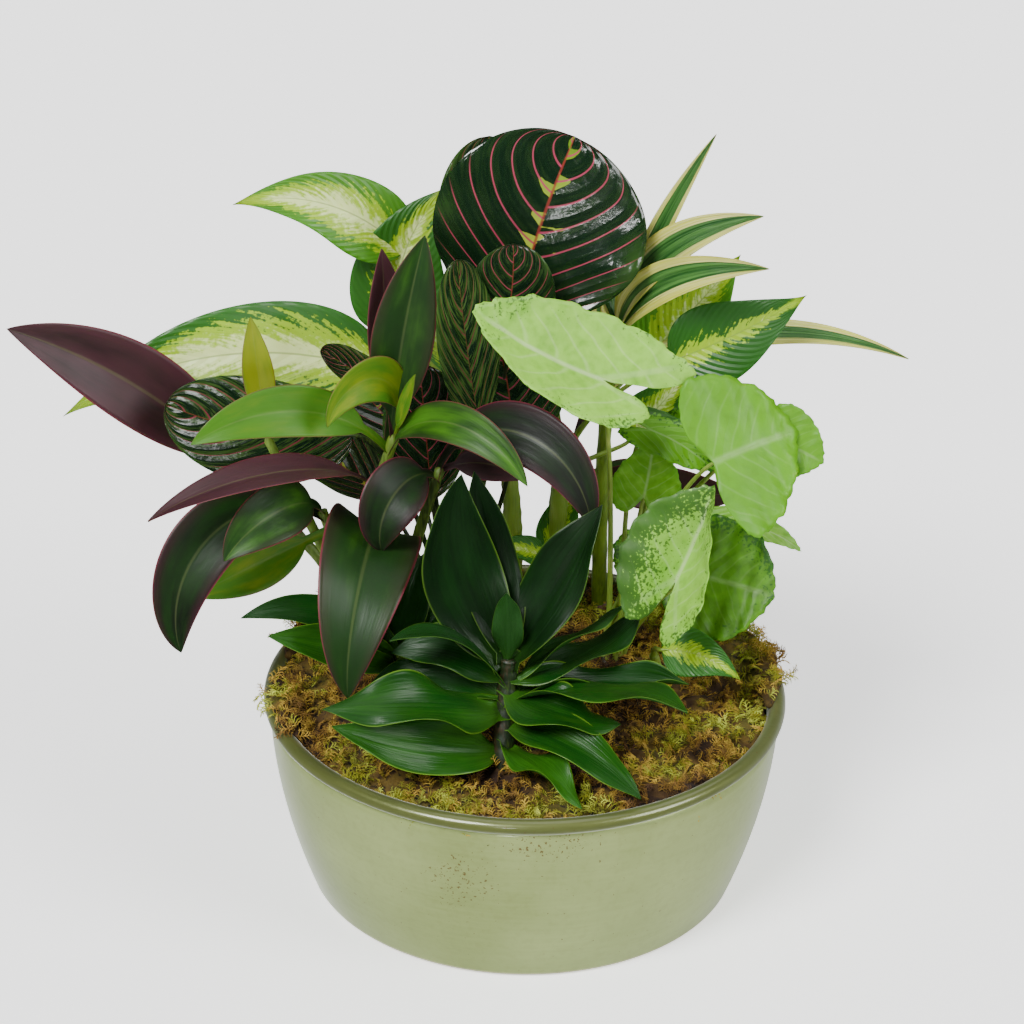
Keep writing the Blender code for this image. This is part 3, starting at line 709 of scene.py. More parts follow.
@dataclass(frozen=True)
class StripedFinish(LeafFinish):
    """Green middle stripe with cream margins."""

    def pattern(self, brush: Brush, spot: Spot) -> tuple[Signal, Signal]:
        """The stripes, whose edges follow the nerves.

        Args:
            brush: The material's brush.
            spot: The point of the blade.

        Returns:
            The colour and the relief.
        """
        nerves = spot.nerves(brush, 8)
        green = brush.mix(nerves, display(46, 98, 48), display(106, 150, 88))
        cream = brush.mix(nerves, display(214, 214, 112), display(236, 234, 176))
        edge = 0.85 - spot.marks * 0.5
        colour = brush.mix((spot.side + nerves * 0.12).over(edge, edge + 0.08), green, cream)
        return colour, nerves


@dataclass(frozen=True)
class StemFinish(Finish):
    """Stalks and canes: pale green, a very dark green that is partly painted shade, then brown and pink by
    tone.
    """

    def paint(self, brush: Brush, shader: bpy.types.Node) -> None:
        """Streaks along the stem.

        Args:
            brush: The material's brush.
            shader: Its shader.
        """
        tone = brush.split(brush.attribute("look"))[0]
        position = brush.position()
        x, y, z = brush.split(position)
        streak = brush.noise(brush.vector(x * 900, y * 900, z * 40), 1, 2)
        tint = brush.mottle(position, 50, 2)
        # The third colour, a very dark green, is partly the stems' own colour and partly painted shade, for
        # the rosette's stem deep among its leaves
        colours = (display(206, 214, 140), display(140, 164, 84), display(38, 56, 30),
                   display(140, 92, 78), display(120, 62, 70))
        colour = brush.ramp(tone + (streak - 0.5) * 0.2 + (tint - 0.5) * 0.12, colours)
        brush.feed(colour, shader.inputs["Base Color"])
        brush.feed(brush.bump(streak, 0.0003), shader.inputs["Normal"])
        shader.inputs["Subsurface Weight"].default_value = 0.08
        shader.inputs["Subsurface Scale"].default_value = 0.001


@dataclass(frozen=True)
class GlazeFinish(Finish):
    """Sage green glaze with a metallic sheen, darker on the rim and bare along the foot."""

    rim_height: float = 91
    foot_height: float = 2.2

    def paint(self, brush: Brush, shader: bpy.types.Node) -> None:
        """Cloudy green, the rim's olive with a band of painted shade low on its roll, worn brown specks and
        the pale foot.

        Args:
            brush: The material's brush.
            shader: Its shader.
        """
        position = brush.position()
        x, y, z = brush.split(position)
        cloud = brush.mottle(position, 14, 4)
        fine = brush.noise(position, 260, 3)
        streak = brush.noise(brush.vector(x * 30, y * 30, z * 600), 1, 3)
        colour = brush.mix(cloud * 0.6 + streak * 0.4, display(162, 176, 120), display(194, 206, 152))
        colour = brush.mix(fine.over(0.45, 0.7) * 0.12, colour, display(136, 140, 88))
        rim = z.over(self.rim_height * MM, (self.rim_height + 1.5) * MM)
        colour = brush.mix(rim * 0.9, colour, brush.mix(streak, display(84, 90, 48), display(120, 126, 74)))
        # Painted shade: a dark band low on the rim roll, where it overhangs the neck
        groove = rim.least(1 - z.over((self.rim_height + 1) * MM, (self.rim_height + 3) * MM))
        colour = brush.mix(groove * 0.6, colour, display(70, 62, 34))
        colour = brush.mix(self.wear(brush, x, z, position) * 0.8, colour, display(118, 82, 52))
        foot = 1 - z.over((self.foot_height - 1) * MM, (self.foot_height + 1) * MM)
        colour = brush.mix(foot * 0.85, colour, display(214, 210, 180))
        brush.feed(colour, shader.inputs["Base Color"])
        brush.feed(cloud * 0.1 + self.roughness + foot * 0.3, shader.inputs["Roughness"])
        brush.feed(brush.bump(fine * 0.4 + cloud, 0.0003), shader.inputs["Normal"])
        shader.inputs["Coat Weight"].default_value = 0.8
        shader.inputs["Coat Roughness"].default_value = 0.16
        shader.inputs["Metallic"].default_value = 0.35
        shader.inputs["Sheen Weight"].default_value = 0.7
        shader.inputs["Sheen Roughness"].default_value = 0.35
        shader.inputs["Sheen Tint"].default_value = (0.9, 0.95, 0.85, 1)

    def wear(self, brush: Brush, x: Signal, z: Signal, position: Signal) -> Signal:
        """Worn specks, thickest in two patches on the front.

        Args:
            brush: The material's brush.
            x: Distance to the right.
            z: Height.
            position: The point.

        Returns:
            The specks, 0 to 1.
        """
        speck = brush.noise(position, 700, 2)
        cluster = brush.noise(position, 45, 2)
        left = (x + 0.028) * (x + 0.028) + (z - 0.062) * (z - 0.062)
        upper = (x - 0.014) * (x - 0.014) * 0.15 + (z - 0.086) * (z - 0.086)
        near = 1 - left.least(upper * 3).over(0.00005, 0.0005)
        level = 0.77 - near * 0.12 - cluster * 0.08
        return (speck - level).over(0.0, 0.03)


@dataclass(frozen=True)
class SoilFinish(Finish):
    """Dark crumbly potting soil."""

    def paint(self, brush: Brush, shader: bpy.types.Node) -> None:
        """Dark brown crumbs.

        Args:
            brush: The material's brush.
            shader: Its shader.
        """
        position = brush.position()
        crumb = brush.noise(position, 300, 5, 0.7)
        colour = brush.mix(crumb.over(0.35, 0.7), display(26, 18, 12), display(84, 62, 44))
        brush.feed(colour, shader.inputs["Base Color"])
        brush.feed(brush.bump(crumb, 0.002), shader.inputs["Normal"])


@dataclass(frozen=True)
class MossFinish(Finish):
    """Dried sheet moss: brown, orange, olive and yellow-green in patches."""

    # How much painted shade darkens the surface all over, for the mat that shows as deep gaps between the
    # sprigs
    dark: float = 0

    def paint(self, brush: Brush, shader: bpy.types.Node) -> None:
        """Patches of colour, each sprig with its own tint, with painted shade towards the sprigs' feet, in
        dark patches and all over the mat.

        Args:
            brush: The material's brush.
            shader: Its shader.
        """
        position = brush.position()
        tint = brush.split(brush.attribute("tint"))[0]
        reach = brush.split(brush.attribute("reach"))[0]
        patch = brush.mottle(position, 34, 3)
        fine = brush.noise(position, 330, 3)
        share = patch * 0.8 + tint * 0.36 + (fine - 0.5) * 0.3 - 0.1
        colours = (display(90, 64, 42), display(154, 124, 72), display(208, 180, 104),
                   display(160, 162, 72), display(214, 222, 122))
        colour = brush.ramp(share, colours)
        # Painted shade: darker towards each sprig's foot, deep in the moss, and all over the mat and clumps,
        # which have no reach
        colour = brush.mix((1 - reach.over(0.0, 0.5)) * 0.62, colour, display(62, 42, 24))
        # Dark patches by noise: painted shade of the gaps in the moss
        painted_gap_shade = brush.noise(position, 95, 2).over(0.5, 0.68)
        colour = brush.mix(painted_gap_shade * 0.5, colour, display(58, 38, 24))
        # Painted shade over the whole surface, in fine patches, by the dark share
        colour = brush.mix(fine.over(0.5, 0.75) * self.dark + self.dark * 0.5, colour, display(34, 22, 12))
        brush.feed(colour, shader.inputs["Base Color"])
        brush.feed(brush.bump(fine, 0.001), shader.inputs["Normal"])


class Relief(Enum):
    """The fine relief of a blade's upper side."""

    NERVES = "nerves"
    RIBS = "ribs"


@dataclass(frozen=True)
class Form:
    """How one kind of leaf is shaped and finished.

    The first fields are those of the part; rows, columns and relief are for the fine surface.
    """

    finish: LeafFinish
    neck: float = 0.05
    stalk_share: float = 0.0
    swell: float = 0.5
    taper: float = 0.5
    fold: float = 10
    waves: float = 2
    wave: float = 0.03
    outline: tuple = ()
    relief: Relief = Relief.NERVES
    relief_depth: float = 0.04
    rib_count: float = 8
    rib_slant: float = 0.4
    rib_bend: float = 1.2
    rows: int = 56
    columns: int = 16
    thickness: float = 0.55


DRAGON_FINISH = DragonFinish("dragon_leaf", 0.3, 0.24, 0.05, display(52, 96, 42), 0.5)
TI_FINISH = TiFinish("ti_leaf", 0.4, 0.26, 0.1, display(120, 138, 78), 0.3)
PRAYER_FINISH = PrayerFinish("prayer_leaf", 0.15, 0.7, 0.05, display(100, 66, 60), 0.5)
DUMB_CANE_FINISH = DumbCaneFinish("dumb_cane_leaf", 0.36, 0.5, 0.15, display(140, 176, 90), 0.4)
ARROWHEAD_FINISH = ArrowheadFinish("arrowhead_leaf", 0.42, 0.4, 0.15, display(140, 182, 76), 0.3)
STRIPED_FINISH = StripedFinish("striped_leaf", 0.34, 0.5, 0.12, display(124, 152, 104), 0.5)
STEM_FINISH = StemFinish("stem", 0.45)

DRAGON = Form(DRAGON_FINISH, neck=0.42, swell=0.8, taper=1, fold=16, waves=1.5, wave=0.2)
TI = Form(TI_FINISH, neck=0.18, stalk_share=0.18, swell=0.7, taper=0.92, fold=14, waves=1,
          relief_depth=0.015)
PRAYER = Form(PRAYER_FINISH, neck=0.04, fold=7, waves=3, wave=0.02, relief=Relief.RIBS,
              relief_depth=0.36, rib_count=7, rib_slant=0.5, rib_bend=1.35, rows=80, columns=28)
DUMB = Form(DUMB_CANE_FINISH, neck=0.15, taper=1.3, fold=9, waves=2, wave=0.06, relief=Relief.RIBS,
            relief_depth=0.25, rib_count=8, rib_slant=0.34, rows=72, columns=20)
STRIPED = Form(STRIPED_FINISH, neck=0.4, swell=0.6, taper=0.95, fold=16, waves=1.5)

# A lobed leaf's outline: degrees from the tip round the stalk's end, and reach as a share of the length
ARROW_OUTLINE = ((0, 1), (12, 0.9), (35, 0.72), (75, 0.52), (115, 0.52), (143, 0.6), (160, 0.68),
                 (170, 0.5), (180, 0.08))
HEART_OUTLINE = ((0, 1), (15, 0.84), (42, 0.64), (82, 0.53), (118, 0.49), (150, 0.45), (180, 0.1))
ARROW = Form(ARROWHEAD_FINISH, fold=8, waves=3, wave=0.04, outline=ARROW_OUTLINE, relief=Relief.RIBS,
             relief_depth=0.05, rib_count=4.5, rib_slant=0.42, rib_bend=1.15, rows=16, columns=9)
HEART = replace(ARROW, outline=HEART_OUTLINE)


@dataclass(frozen=True)
class Leaf:
    """One leaf: its kind and size, the way it sets off, and how it bends on its way to the tip.

    A leaf with a place on a cane grows from it; one with a seat sits on a stalk that ends there.
    Tone and marks say how far its finish goes from one colour to the next and how marked it is.
    """

    form: Form
    length: float
    width: float
    heading: float
    rise: float
    droop: float = 0
    turn: float = 0
    roll: float = 0
    at: float | None = None
    seat: tuple | None = None
    lobes: tuple = (1, 1)
    fold: float | None = None
    wave: float | None = None
    shift: float = 0
    tone: float = 0.5
    marks: float = 0.5


@dataclass(frozen=True)
class Cane:
    """A stem from the crown up: three points that it passes, its radii and the leaves on it."""

    foot: tuple
    middle: tuple
    top: tuple
    foot_radius: float
    top_radius: float
    leaves: tuple = ()

    def point(self, share: float) -> np.ndarray:
        """The point at a share of the cane's height."""
        foot, middle, top = (np.array(point, float) for point in (self.foot, self.middle, self.top))
        pull = 2 * middle - (foot + top) / 2
        return foot * (1 - share) ** 2 + pull * 2 * share * (1 - share) + top * share ** 2


@dataclass
class Surface:
    """A sheet of points with what its finish needs, ready to be given its thickness."""

    points: np.ndarray
    outward: np.ndarray
    place: np.ndarray
    faces: list
    border: list


@dataclass
class Skin:
    """Closed mesh data: points, faces and the attributes of the points."""

    points: list = field(default_factory=list)
    faces: list = field(default_factory=list)
    place: list = field(default_factory=list)
    look: list = field(default_factory=list)
    under: list = field(default_factory=list)

    def add(self, surface: Surface, thickness: float, look: tuple) -> None:
        """Adds a sheet with its thickness.

        Args:
            surface: The sheet; its points are the upper face.
            thickness: How thick it is away from the margin.
            look: The leaf's tone, marks and number.
        """
        start = sum(len(points) for points in self.points)
        count = len(surface.points)
        across, margin = surface.place[:, 0], surface.place[:, 2]
        thin = thickness * (1 - MARGIN_THINNING * margin ** 8)
        ridge = RIDGE_DEPTH * np.exp(-(across / RIDGE_WIDTH) ** 2) * (1 - margin ** 4)
        lower = surface.points - surface.outward * (thin + ridge)[:, None]
        self.points += [surface.points, lower]
        self.place += [surface.place, surface.place]
        self.look.append(np.tile(look, (2 * count, 1)))
        self.under += [np.zeros(count), np.ones(count)]
        self.faces += [tuple(start + i for i in face) for face in surface.faces]
        self.faces += [tuple(start + count + i for i in reversed(face)) for face in surface.faces]
        border = surface.border
        for here, after in zip(border, border[1:] + border[:1]):
            self.faces.append((start + after, start + here, start + count + here, start + count + after))

    def mesh(self, name: str) -> bpy.types.Mesh:
        """The mesh, in metres, with its attributes.

        Args:
            name: The mesh's name.

        Returns:
            The mesh, shaded smooth.
        """
        mesh = bpy.data.meshes.new(name)
        points = np.vstack(self.points) * MM
        mesh.from_pydata(points.tolist(), [], self.faces)
        for title, kind, values in (("place", "FLOAT_VECTOR", np.vstack(self.place)),
                                    ("look", "FLOAT_VECTOR", np.vstack(self.look)),
                                    ("under", "FLOAT", np.concatenate(self.under))):
            attribute = mesh.attributes.new(title, kind, "POINT")
            key = "vector" if kind == "FLOAT_VECTOR" else "value"
            attribute.data.foreach_set(key, values.astype(np.float32).ravel())
        mesh.shade_smooth()
        return mesh


def unit(vector: np.ndarray) -> np.ndarray:
    """The vector at length one."""
    return vector / np.linalg.norm(vector)


def new_object(name: str, data: bpy.types.ID) -> bpy.types.Object:
    """An object in the scene.

    Args:
        name: Its name.
        data: Its mesh, camera or light.

    Returns:
        The object.
    """
    made = bpy.data.objects.new(name, data)
    bpy.context.scene.collection.objects.link(made)
    return made


class Blade:
    """A leaf's blade, from the same measures as the part's, with a finer surface."""

    def __init__(self, leaf: Leaf, foot: Point) -> None:
        """Lays the midrib from the blade's foot to its tip.

        Args:
            leaf: The leaf.
            foot: Where its blade starts.
        """
        self.leaf = leaf
        self.form = leaf.form
        start = -LOBE_REACH if self.form.outline else 0
        self.shares = np.linspace(start, 1, MIDRIB_STEPS + 1)
        middles = (self.shares[:-1] + self.shares[1:]) / 2
        steps = self.ways(middles)[0] * leaf.length * (1 - start) / MIDRIB_STEPS
        line = np.vstack([np.zeros(3), np.cumsum(steps, axis=0)])
        self.line = line - self.pick(line, np.zeros(1))[0] + np.array(foot, float)

    def pick(self, line: np.ndarray, shares: np.ndarray) -> np.ndarray:
        """Points of a line at shares of the blade's length."""
        return np.stack([np.interp(shares, self.shares, line[:, axis]) for axis in range(3)], axis=-1)

    def ways(self, shares: np.ndarray) -> tuple[np.ndarray, np.ndarray, np.ndarray]:
        """The blade's directions.

        Args:
            shares: Shares of the blade's length.

        Returns:
            The directions along, across and out of the upper face, at each share.
        """
        leaf = self.leaf
        heading = np.radians(leaf.heading + leaf.turn * shares)
        pitch = np.radians(leaf.rise - leaf.droop * shares)
        along = np.stack([np.cos(heading) * np.cos(pitch), np.sin(heading) * np.cos(pitch),
                          np.sin(pitch)], axis=-1)
        level = np.stack([-np.sin(heading), np.cos(heading), np.zeros_like(heading)], axis=-1)
        above = np.cross(along, level)
        roll = math.radians(leaf.roll)
        across = level * math.cos(roll) + above * math.sin(roll)
        upper = above * math.cos(roll) - level * math.sin(roll)
        return along, across, upper

    def half_widths(self, shares: np.ndarray) -> np.ndarray:
        """Half the width of a narrow or oval blade at shares of its length."""
        form = self.form
        half = self.leaf.width / 2
        blade = np.clip((shares - form.stalk_share) / (1 - form.stalk_share), 0, 1)
        widest = form.swell / (form.swell + form.taper)
        swelling = (blade / widest) ** form.swell * ((1 - blade) / (1 - widest)) ** form.taper
        neck = form.neck * (1 - blade) ** 3
        return half * np.maximum(np.where(shares > form.stalk_share, swelling, 0), neck) + 0.12

    def relief(self, along: np.ndarray, across: np.ndarray) -> np.ndarray:
        """The fine relief of the upper side, in millimetres."""
        form = self.form
        side = np.abs(across)
        calm = 1 - side ** 6
        if form.relief is Relief.NERVES:
            return form.relief_depth * np.cos(side * math.pi * 7) * calm
        phase = form.rib_count * (along - form.rib_slant * side ** form.rib_bend)
        phase = phase + np.sign(across) * RIB_STAGGER
        return form.relief_depth * (1 - np.cos(phase * 2 * math.pi)) / 2 * calm * np.minimum(1, side * 5)

    def place_points(self, shares: np.ndarray, aside: np.ndarray, across: np.ndarray,
                     margin: np.ndarray) -> tuple[np.ndarray, np.ndarray]:
        """Puts points of the flat blade in space.

        Args:
            shares: Shares of the blade's length.
            aside: Distances from the midrib.
            across: The same as shares of half the width.
            margin: Nearness to the margin, 0 to 1.

        Returns:
            The points and the way out of the upper face at each.
        """
        leaf, form = self.leaf, self.form
        _, sideways, upper = self.ways(shares)
        fold = math.radians(form.fold if leaf.fold is None else leaf.fold)
        half = leaf.width / 2
        soft = CREASE_SOFTNESS * half
        lift = math.sin(fold) * (np.hypot(aside, soft) - soft)
        phase = 2 * math.pi * form.waves * shares + leaf.shift + np.where(aside > 0, WAVE_OFFSET, 0)
        wave = form.wave if leaf.wave is None else leaf.wave
        calm_tip = np.clip(4 * (1 - shares), 0, 1)
        lift = lift + wave * half * margin ** 2 * np.sin(phase) * calm_tip
        lift = lift + self.relief(shares, across)
        middle = self.pick(self.line, shares)
        points = middle + sideways * (aside * math.cos(fold))[:, None] + upper * lift[:, None]
        tilt = np.sign(aside) * math.sin(fold) * np.minimum(1, np.abs(aside) / max(soft, 0.1))
        outward = upper * math.cos(fold) - sideways * tilt[:, None]
        return points, outward

    def surface(self) -> Surface:
        """The blade's upper face."""
        return self.lobed() if self.form.outline else self.narrow()

    def narrow(self) -> Surface:
        """A narrow or oval blade, in rows from the foot to the tip."""
        rows, columns = self.form.rows, self.form.columns
        steps = np.linspace(0, 1, rows + 1)
        shares = (1 - np.cos(steps * math.pi)) / 2 * 0.4 + steps * 0.6
        sides = np.linspace(-1, 1, columns + 1)
        along = np.repeat(shares, columns + 1)
        across = np.tile(sides, rows + 1)
        aside = across * np.repeat(self.half_widths(shares), columns + 1)
        margin = np.abs(across)
        points, outward = self.place_points(along, aside, across, margin)
        wide = columns + 1
        faces = [(row * wide + column, (row + 1) * wide + column, (row + 1) * wide + column + 1,
                  row * wide + column + 1) for row in range(rows) for column in range(columns)]
        right = [row * wide for row in range(rows + 1)]
        tip = [rows * wide + column for column in range(1, columns + 1)]
        left = [row * wide + columns for row in reversed(range(rows))]
        foot = [column for column in reversed(range(1, columns))]
        place = np.stack([across, along, margin], axis=-1)
        return Surface(points, outward, place, faces, right + tip + left + foot)

    def outline(self) -> tuple[np.ndarray, np.ndarray]:
        """A lobed blade's smooth outline.

        Returns:
            Shares of the length ahead of the stalk's end, and aside of it, all the way round.
        """
        angles = np.radians([angle for angle, _ in self.form.outline])
        reach = np.array([length for _, length in self.form.outline])
        knots = np.stack([reach * np.cos(angles), reach * np.sin(angles)], axis=-1)
        ends = np.vstack([2 * knots[0] - knots[1], knots, 2 * knots[-1] - knots[-2]])
        curve = []
        steps = np.linspace(0, 1, self.form.columns, endpoint=False)[:, None]
        for a, b, c, d in zip(ends[:-3], ends[1:-2], ends[2:-1], ends[3:]):
            curve.append(0.5 * (2 * b + (c - a) * steps + (2 * a - 5 * b + 4 * c - d) * steps ** 2
                                + (3 * b - a - 3 * c + d) * steps ** 3))
        half = np.vstack(curve + [knots[-1:]])
        whole = np.vstack([half, half[-2:0:-1] * [1, -1]])
        return whole[:, 0], whole[:, 1]

    def lobed(self) -> Surface:
        """A lobed blade, in rings round the end of its stalk."""
        leaf = self.leaf
        ahead, aside = self.outline()
        turns = np.arange(len(ahead)) * 2 * math.pi / len(ahead)
        teeth = 1 + 0.012 * np.sin(turns * 23 + leaf.length) + 0.01 * np.sin(turns * 41 + leaf.width)
        ahead, aside = ahead * teeth, aside * teeth
        lobe = np.where(aside >= 0, leaf.lobes[0], leaf.lobes[1])
        ahead = np.where(ahead < 0, ahead * lobe, ahead)
        spread = leaf.width / LOBED_WIDTH
        rings = np.linspace(0, 1, self.form.rows + 1)[1:]
        count = len(ahead)
        along = np.concatenate([[0]] + [ahead * ring for ring in rings])
        out = np.concatenate([[0]] + [aside * ring * spread for ring in rings])
        margin = np.concatenate([[0]] + [np.full(count, ring) for ring in rings])
        across = out / (leaf.width / 2)
        points, outward = self.place_points(along, out, across, margin)
        faces = [(0, 1 + ray, 1 + (ray + 1) % count) for ray in range(count)]
        for ring in range(len(rings) - 1):
            inner, outer = 1 + ring * count, 1 + (ring + 1) * count
            faces += [(inner + ray, outer + ray, outer + (ray + 1) % count, inner + (ray + 1) % count)
                      for ray in range(count)]
        last = 1 + (len(rings) - 1) * count
        place = np.stack([across, along, margin], axis=-1)
        return Surface(points, outward, place, faces, [last + ray for ray in range(count)])


@dataclass
class Stem:
    """A stem's line with a radius for each of its points."""

    line: np.ndarray
    radii: np.ndarray
    tone: float


class NodeTree(Enum):
    """Geometry node trees, by name."""

    STEMS = "sweep_stems"
    TUFTS = "scatter_sprigs"


class Trees:
    """Builds each geometry node tree once, and turns a modifier's result into a plain mesh."""

    @classmethod
    def tree(cls, kind: NodeTree) -> bpy.types.NodeTree:
        """A geometry node tree.

        Args:
            kind: Which one.

        Returns:
            The tree, made on the first call.
        """
        found = bpy.data.node_groups.get(kind.value)
        if found:
            return found
        tree = bpy.data.node_groups.new(kind.value, "GeometryNodeTree")
        tree.interface.new_socket("Geometry", in_out="INPUT", socket_type="NodeSocketGeometry")
        tree.interface.new_socket("Geometry", in_out="OUTPUT", socket_type="NodeSocketGeometry")
        getattr(cls, kind.value)(tree)
        return tree

    @staticmethod
    def input(tree: bpy.types.NodeTree, name: str, kind: str) -> None:
        """Adds a named input to a tree."""
        tree.interface.new_socket(name, in_out="INPUT", socket_type=f"NodeSocket{kind}")

    @staticmethod
    def add(tree: bpy.types.NodeTree, kind: str, inputs: dict, **settings: str) -> bpy.types.Node:
        """Adds a node to a tree.

        Args:
            tree: The tree.
            kind: The node's kind.
            inputs: A socket to link or a value to set, by the input's name or number.
            settings: The node's own settings, made first.

        Returns:
            The node.
        """
        node = tree.nodes.new(kind)
        for name, value in settings.items():
            setattr(node, name, value)
        for key, value in inputs.items():
            if isinstance(value, bpy.types.NodeSocket):
                tree.links.new(value, node.inputs[key])
            else:
                node.inputs[key].default_value = value
        return node

    @classmethod
    def finish(cls, tree: bpy.types.NodeTree, geometry: bpy.types.NodeSocket,
               material: bpy.types.NodeSocket) -> None:
        """Makes the geometry plain, gives it its material and leads it out of the tree."""
        real = cls.add(tree, "GeometryNodeRealizeInstances", {"Geometry": geometry})
        done = cls.add(tree, "GeometryNodeSetMaterial",
                       {"Geometry": real.outputs["Geometry"], "Material": material})
        cls.add(tree, "NodeGroupOutput", {"Geometry": done.outputs["Geometry"]})

    @classmethod
    def sweep_stems(cls, tree: bpy.types.NodeTree) -> None:
        """Sweeps a round section along every line of the mesh, by the radius at each point."""
        cls.input(tree, "Sides", "Int")
        cls.input(tree, "Finish", "Material")
        add = partial(cls.add, tree)
        given = add("NodeGroupInput", {}).outputs
        curve = add("GeometryNodeMeshToCurve", {"Mesh": given["Geometry"]})
        radius = add("GeometryNodeInputNamedAttribute", {"Name": "stem_radius"}, data_type="FLOAT")
        section = add("GeometryNodeCurvePrimitiveCircle", {"Resolution": given["Sides"], "Radius": 1})
        sweep = add("GeometryNodeCurveToMesh", {
            "Curve": curve.outputs["Curve"], "Profile Curve": section.outputs["Curve"],
            "Scale": radius.outputs["Attribute"], "Fill Caps": True})
        smooth = add("GeometryNodeSetShadeSmooth", {"Geometry": sweep.outputs["Mesh"]})
        cls.finish(tree, smooth.outputs["Geometry"], given["Finish"])

    @classmethod
    def scatter_sprigs(cls, tree: bpy.types.NodeTree) -> None:
        """Sets sprigs on the upward faces of the mesh, leaning at random, each with a tint."""
        for name, kind in (("Sprig", "Object"), ("Density", "Float"), ("Bareness", "Float"),
                           ("Smallest", "Float"), ("Largest", "Float"), ("Lean", "Float"),
                           ("Seed", "Int"), ("Finish", "Material")):
            cls.input(tree, name, kind)
        add = partial(cls.add, tree)
        given = add("NodeGroupInput", {}).outputs
        normal = add("GeometryNodeInputNormal", {})
        part = add("ShaderNodeSeparateXYZ", {0: normal.outputs["Normal"]})
        upward = add("FunctionNodeCompare", {"A": part.outputs["Z"], "B": UPWARD})
        clump = add("ShaderNodeTexNoise", {"Scale": CLUMP_SCALE})
        bare = add("ShaderNodeMath", {0: 1, 1: given["Bareness"]}, operation="SUBTRACT")
        there = add("ShaderNodeMapRange", {
            "Value": clump.outputs[0], "From Min": CLUMP_EDGES[0], "From Max": CLUMP_EDGES[1],
            "To Min": bare.outputs[0]})
        thick = add("ShaderNodeMath", {0: there.outputs[0], 1: given["Density"]}, operation="MULTIPLY")
        scatter = add("GeometryNodeDistributePointsOnFaces", {
            "Mesh": given["Geometry"], "Selection": upward.outputs["Result"],
            "Density": thick.outputs[0], "Seed": given["Seed"]})
        lean = given["Lean"]
        back = add("ShaderNodeMath", {0: lean, 1: -1}, operation="MULTIPLY").outputs[0]
        low = add("ShaderNodeCombineXYZ", {"X": back, "Y": back})
        high = add("ShaderNodeCombineXYZ", {"X": lean, "Y": lean, "Z": 2 * math.pi})
        turn = add("FunctionNodeRandomValue", {"Min": low.outputs[0], "Max": high.outputs[0]},
                   data_type="FLOAT_VECTOR")
        turned = add("FunctionNodeRotateRotation", {
            "Rotation": scatter.outputs["Rotation"], "Rotate By": turn.outputs["Value"]},
            rotation_space="LOCAL")
        size = add("FunctionNodeRandomValue", {2: given["Smallest"], 3: given["Largest"]})
        source = add("GeometryNodeObjectInfo", {"Object": given["Sprig"]})
        place = add("GeometryNodeInstanceOnPoints", {
            "Points": scatter.outputs["Points"], "Instance": source.outputs["Geometry"],
            "Rotation": turned.outputs[0], "Scale": size.outputs[1]})
        tint = add("FunctionNodeRandomValue", {"Seed": 7})
        store = add("GeometryNodeStoreNamedAttribute", {
            "Geometry": place.outputs["Instances"], "Name": "tint", "Value": tint.outputs[1]},
            data_type="FLOAT", domain="INSTANCE")
        cls.finish(tree, store.outputs["Geometry"], given["Finish"])

    @classmethod
    def plain(cls, kind: NodeTree, name: str, source: bpy.types.Mesh, **values: object) -> bpy.types.Object:
        """A piece from a tree's result on a mesh.

        Args:
            kind: The tree.
            name: The piece's name.
            source: The mesh that the tree works on.
            values: The tree's inputs.

        Returns:
            An object with a plain mesh and no modifier.
        """
        tree = cls.tree(kind)
        piece = new_object(name, source)
        modifier = piece.modifiers.new("Nodes", "NODES")
        modifier.node_group = tree
        for item in tree.interface.items_tree:
            if item.name in values:
                modifier[item.identifier] = values[item.name]
        bpy.context.view_layer.update()
        seen = piece.evaluated_get(bpy.context.evaluated_depsgraph_get())
        mesh = bpy.data.meshes.new_from_object(seen)
        piece.modifiers.clear()
        piece.data = mesh
        mesh.name = name
        return piece


def hand_over(piece: bpy.types.Object, nodes: Iterable[str] = ()) -> None:
    """Ties a finished piece to the frame and reports it.

    Args:
        piece: The piece.
        nodes: The part's nodes that it stands for.
    """
    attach(piece, BODY)
    if nodes:
        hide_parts(*nodes)
    piece.data.calc_loop_triangles()
    LOG.info("%s: %d triangles", piece.name, len(piece.data.loop_triangles))


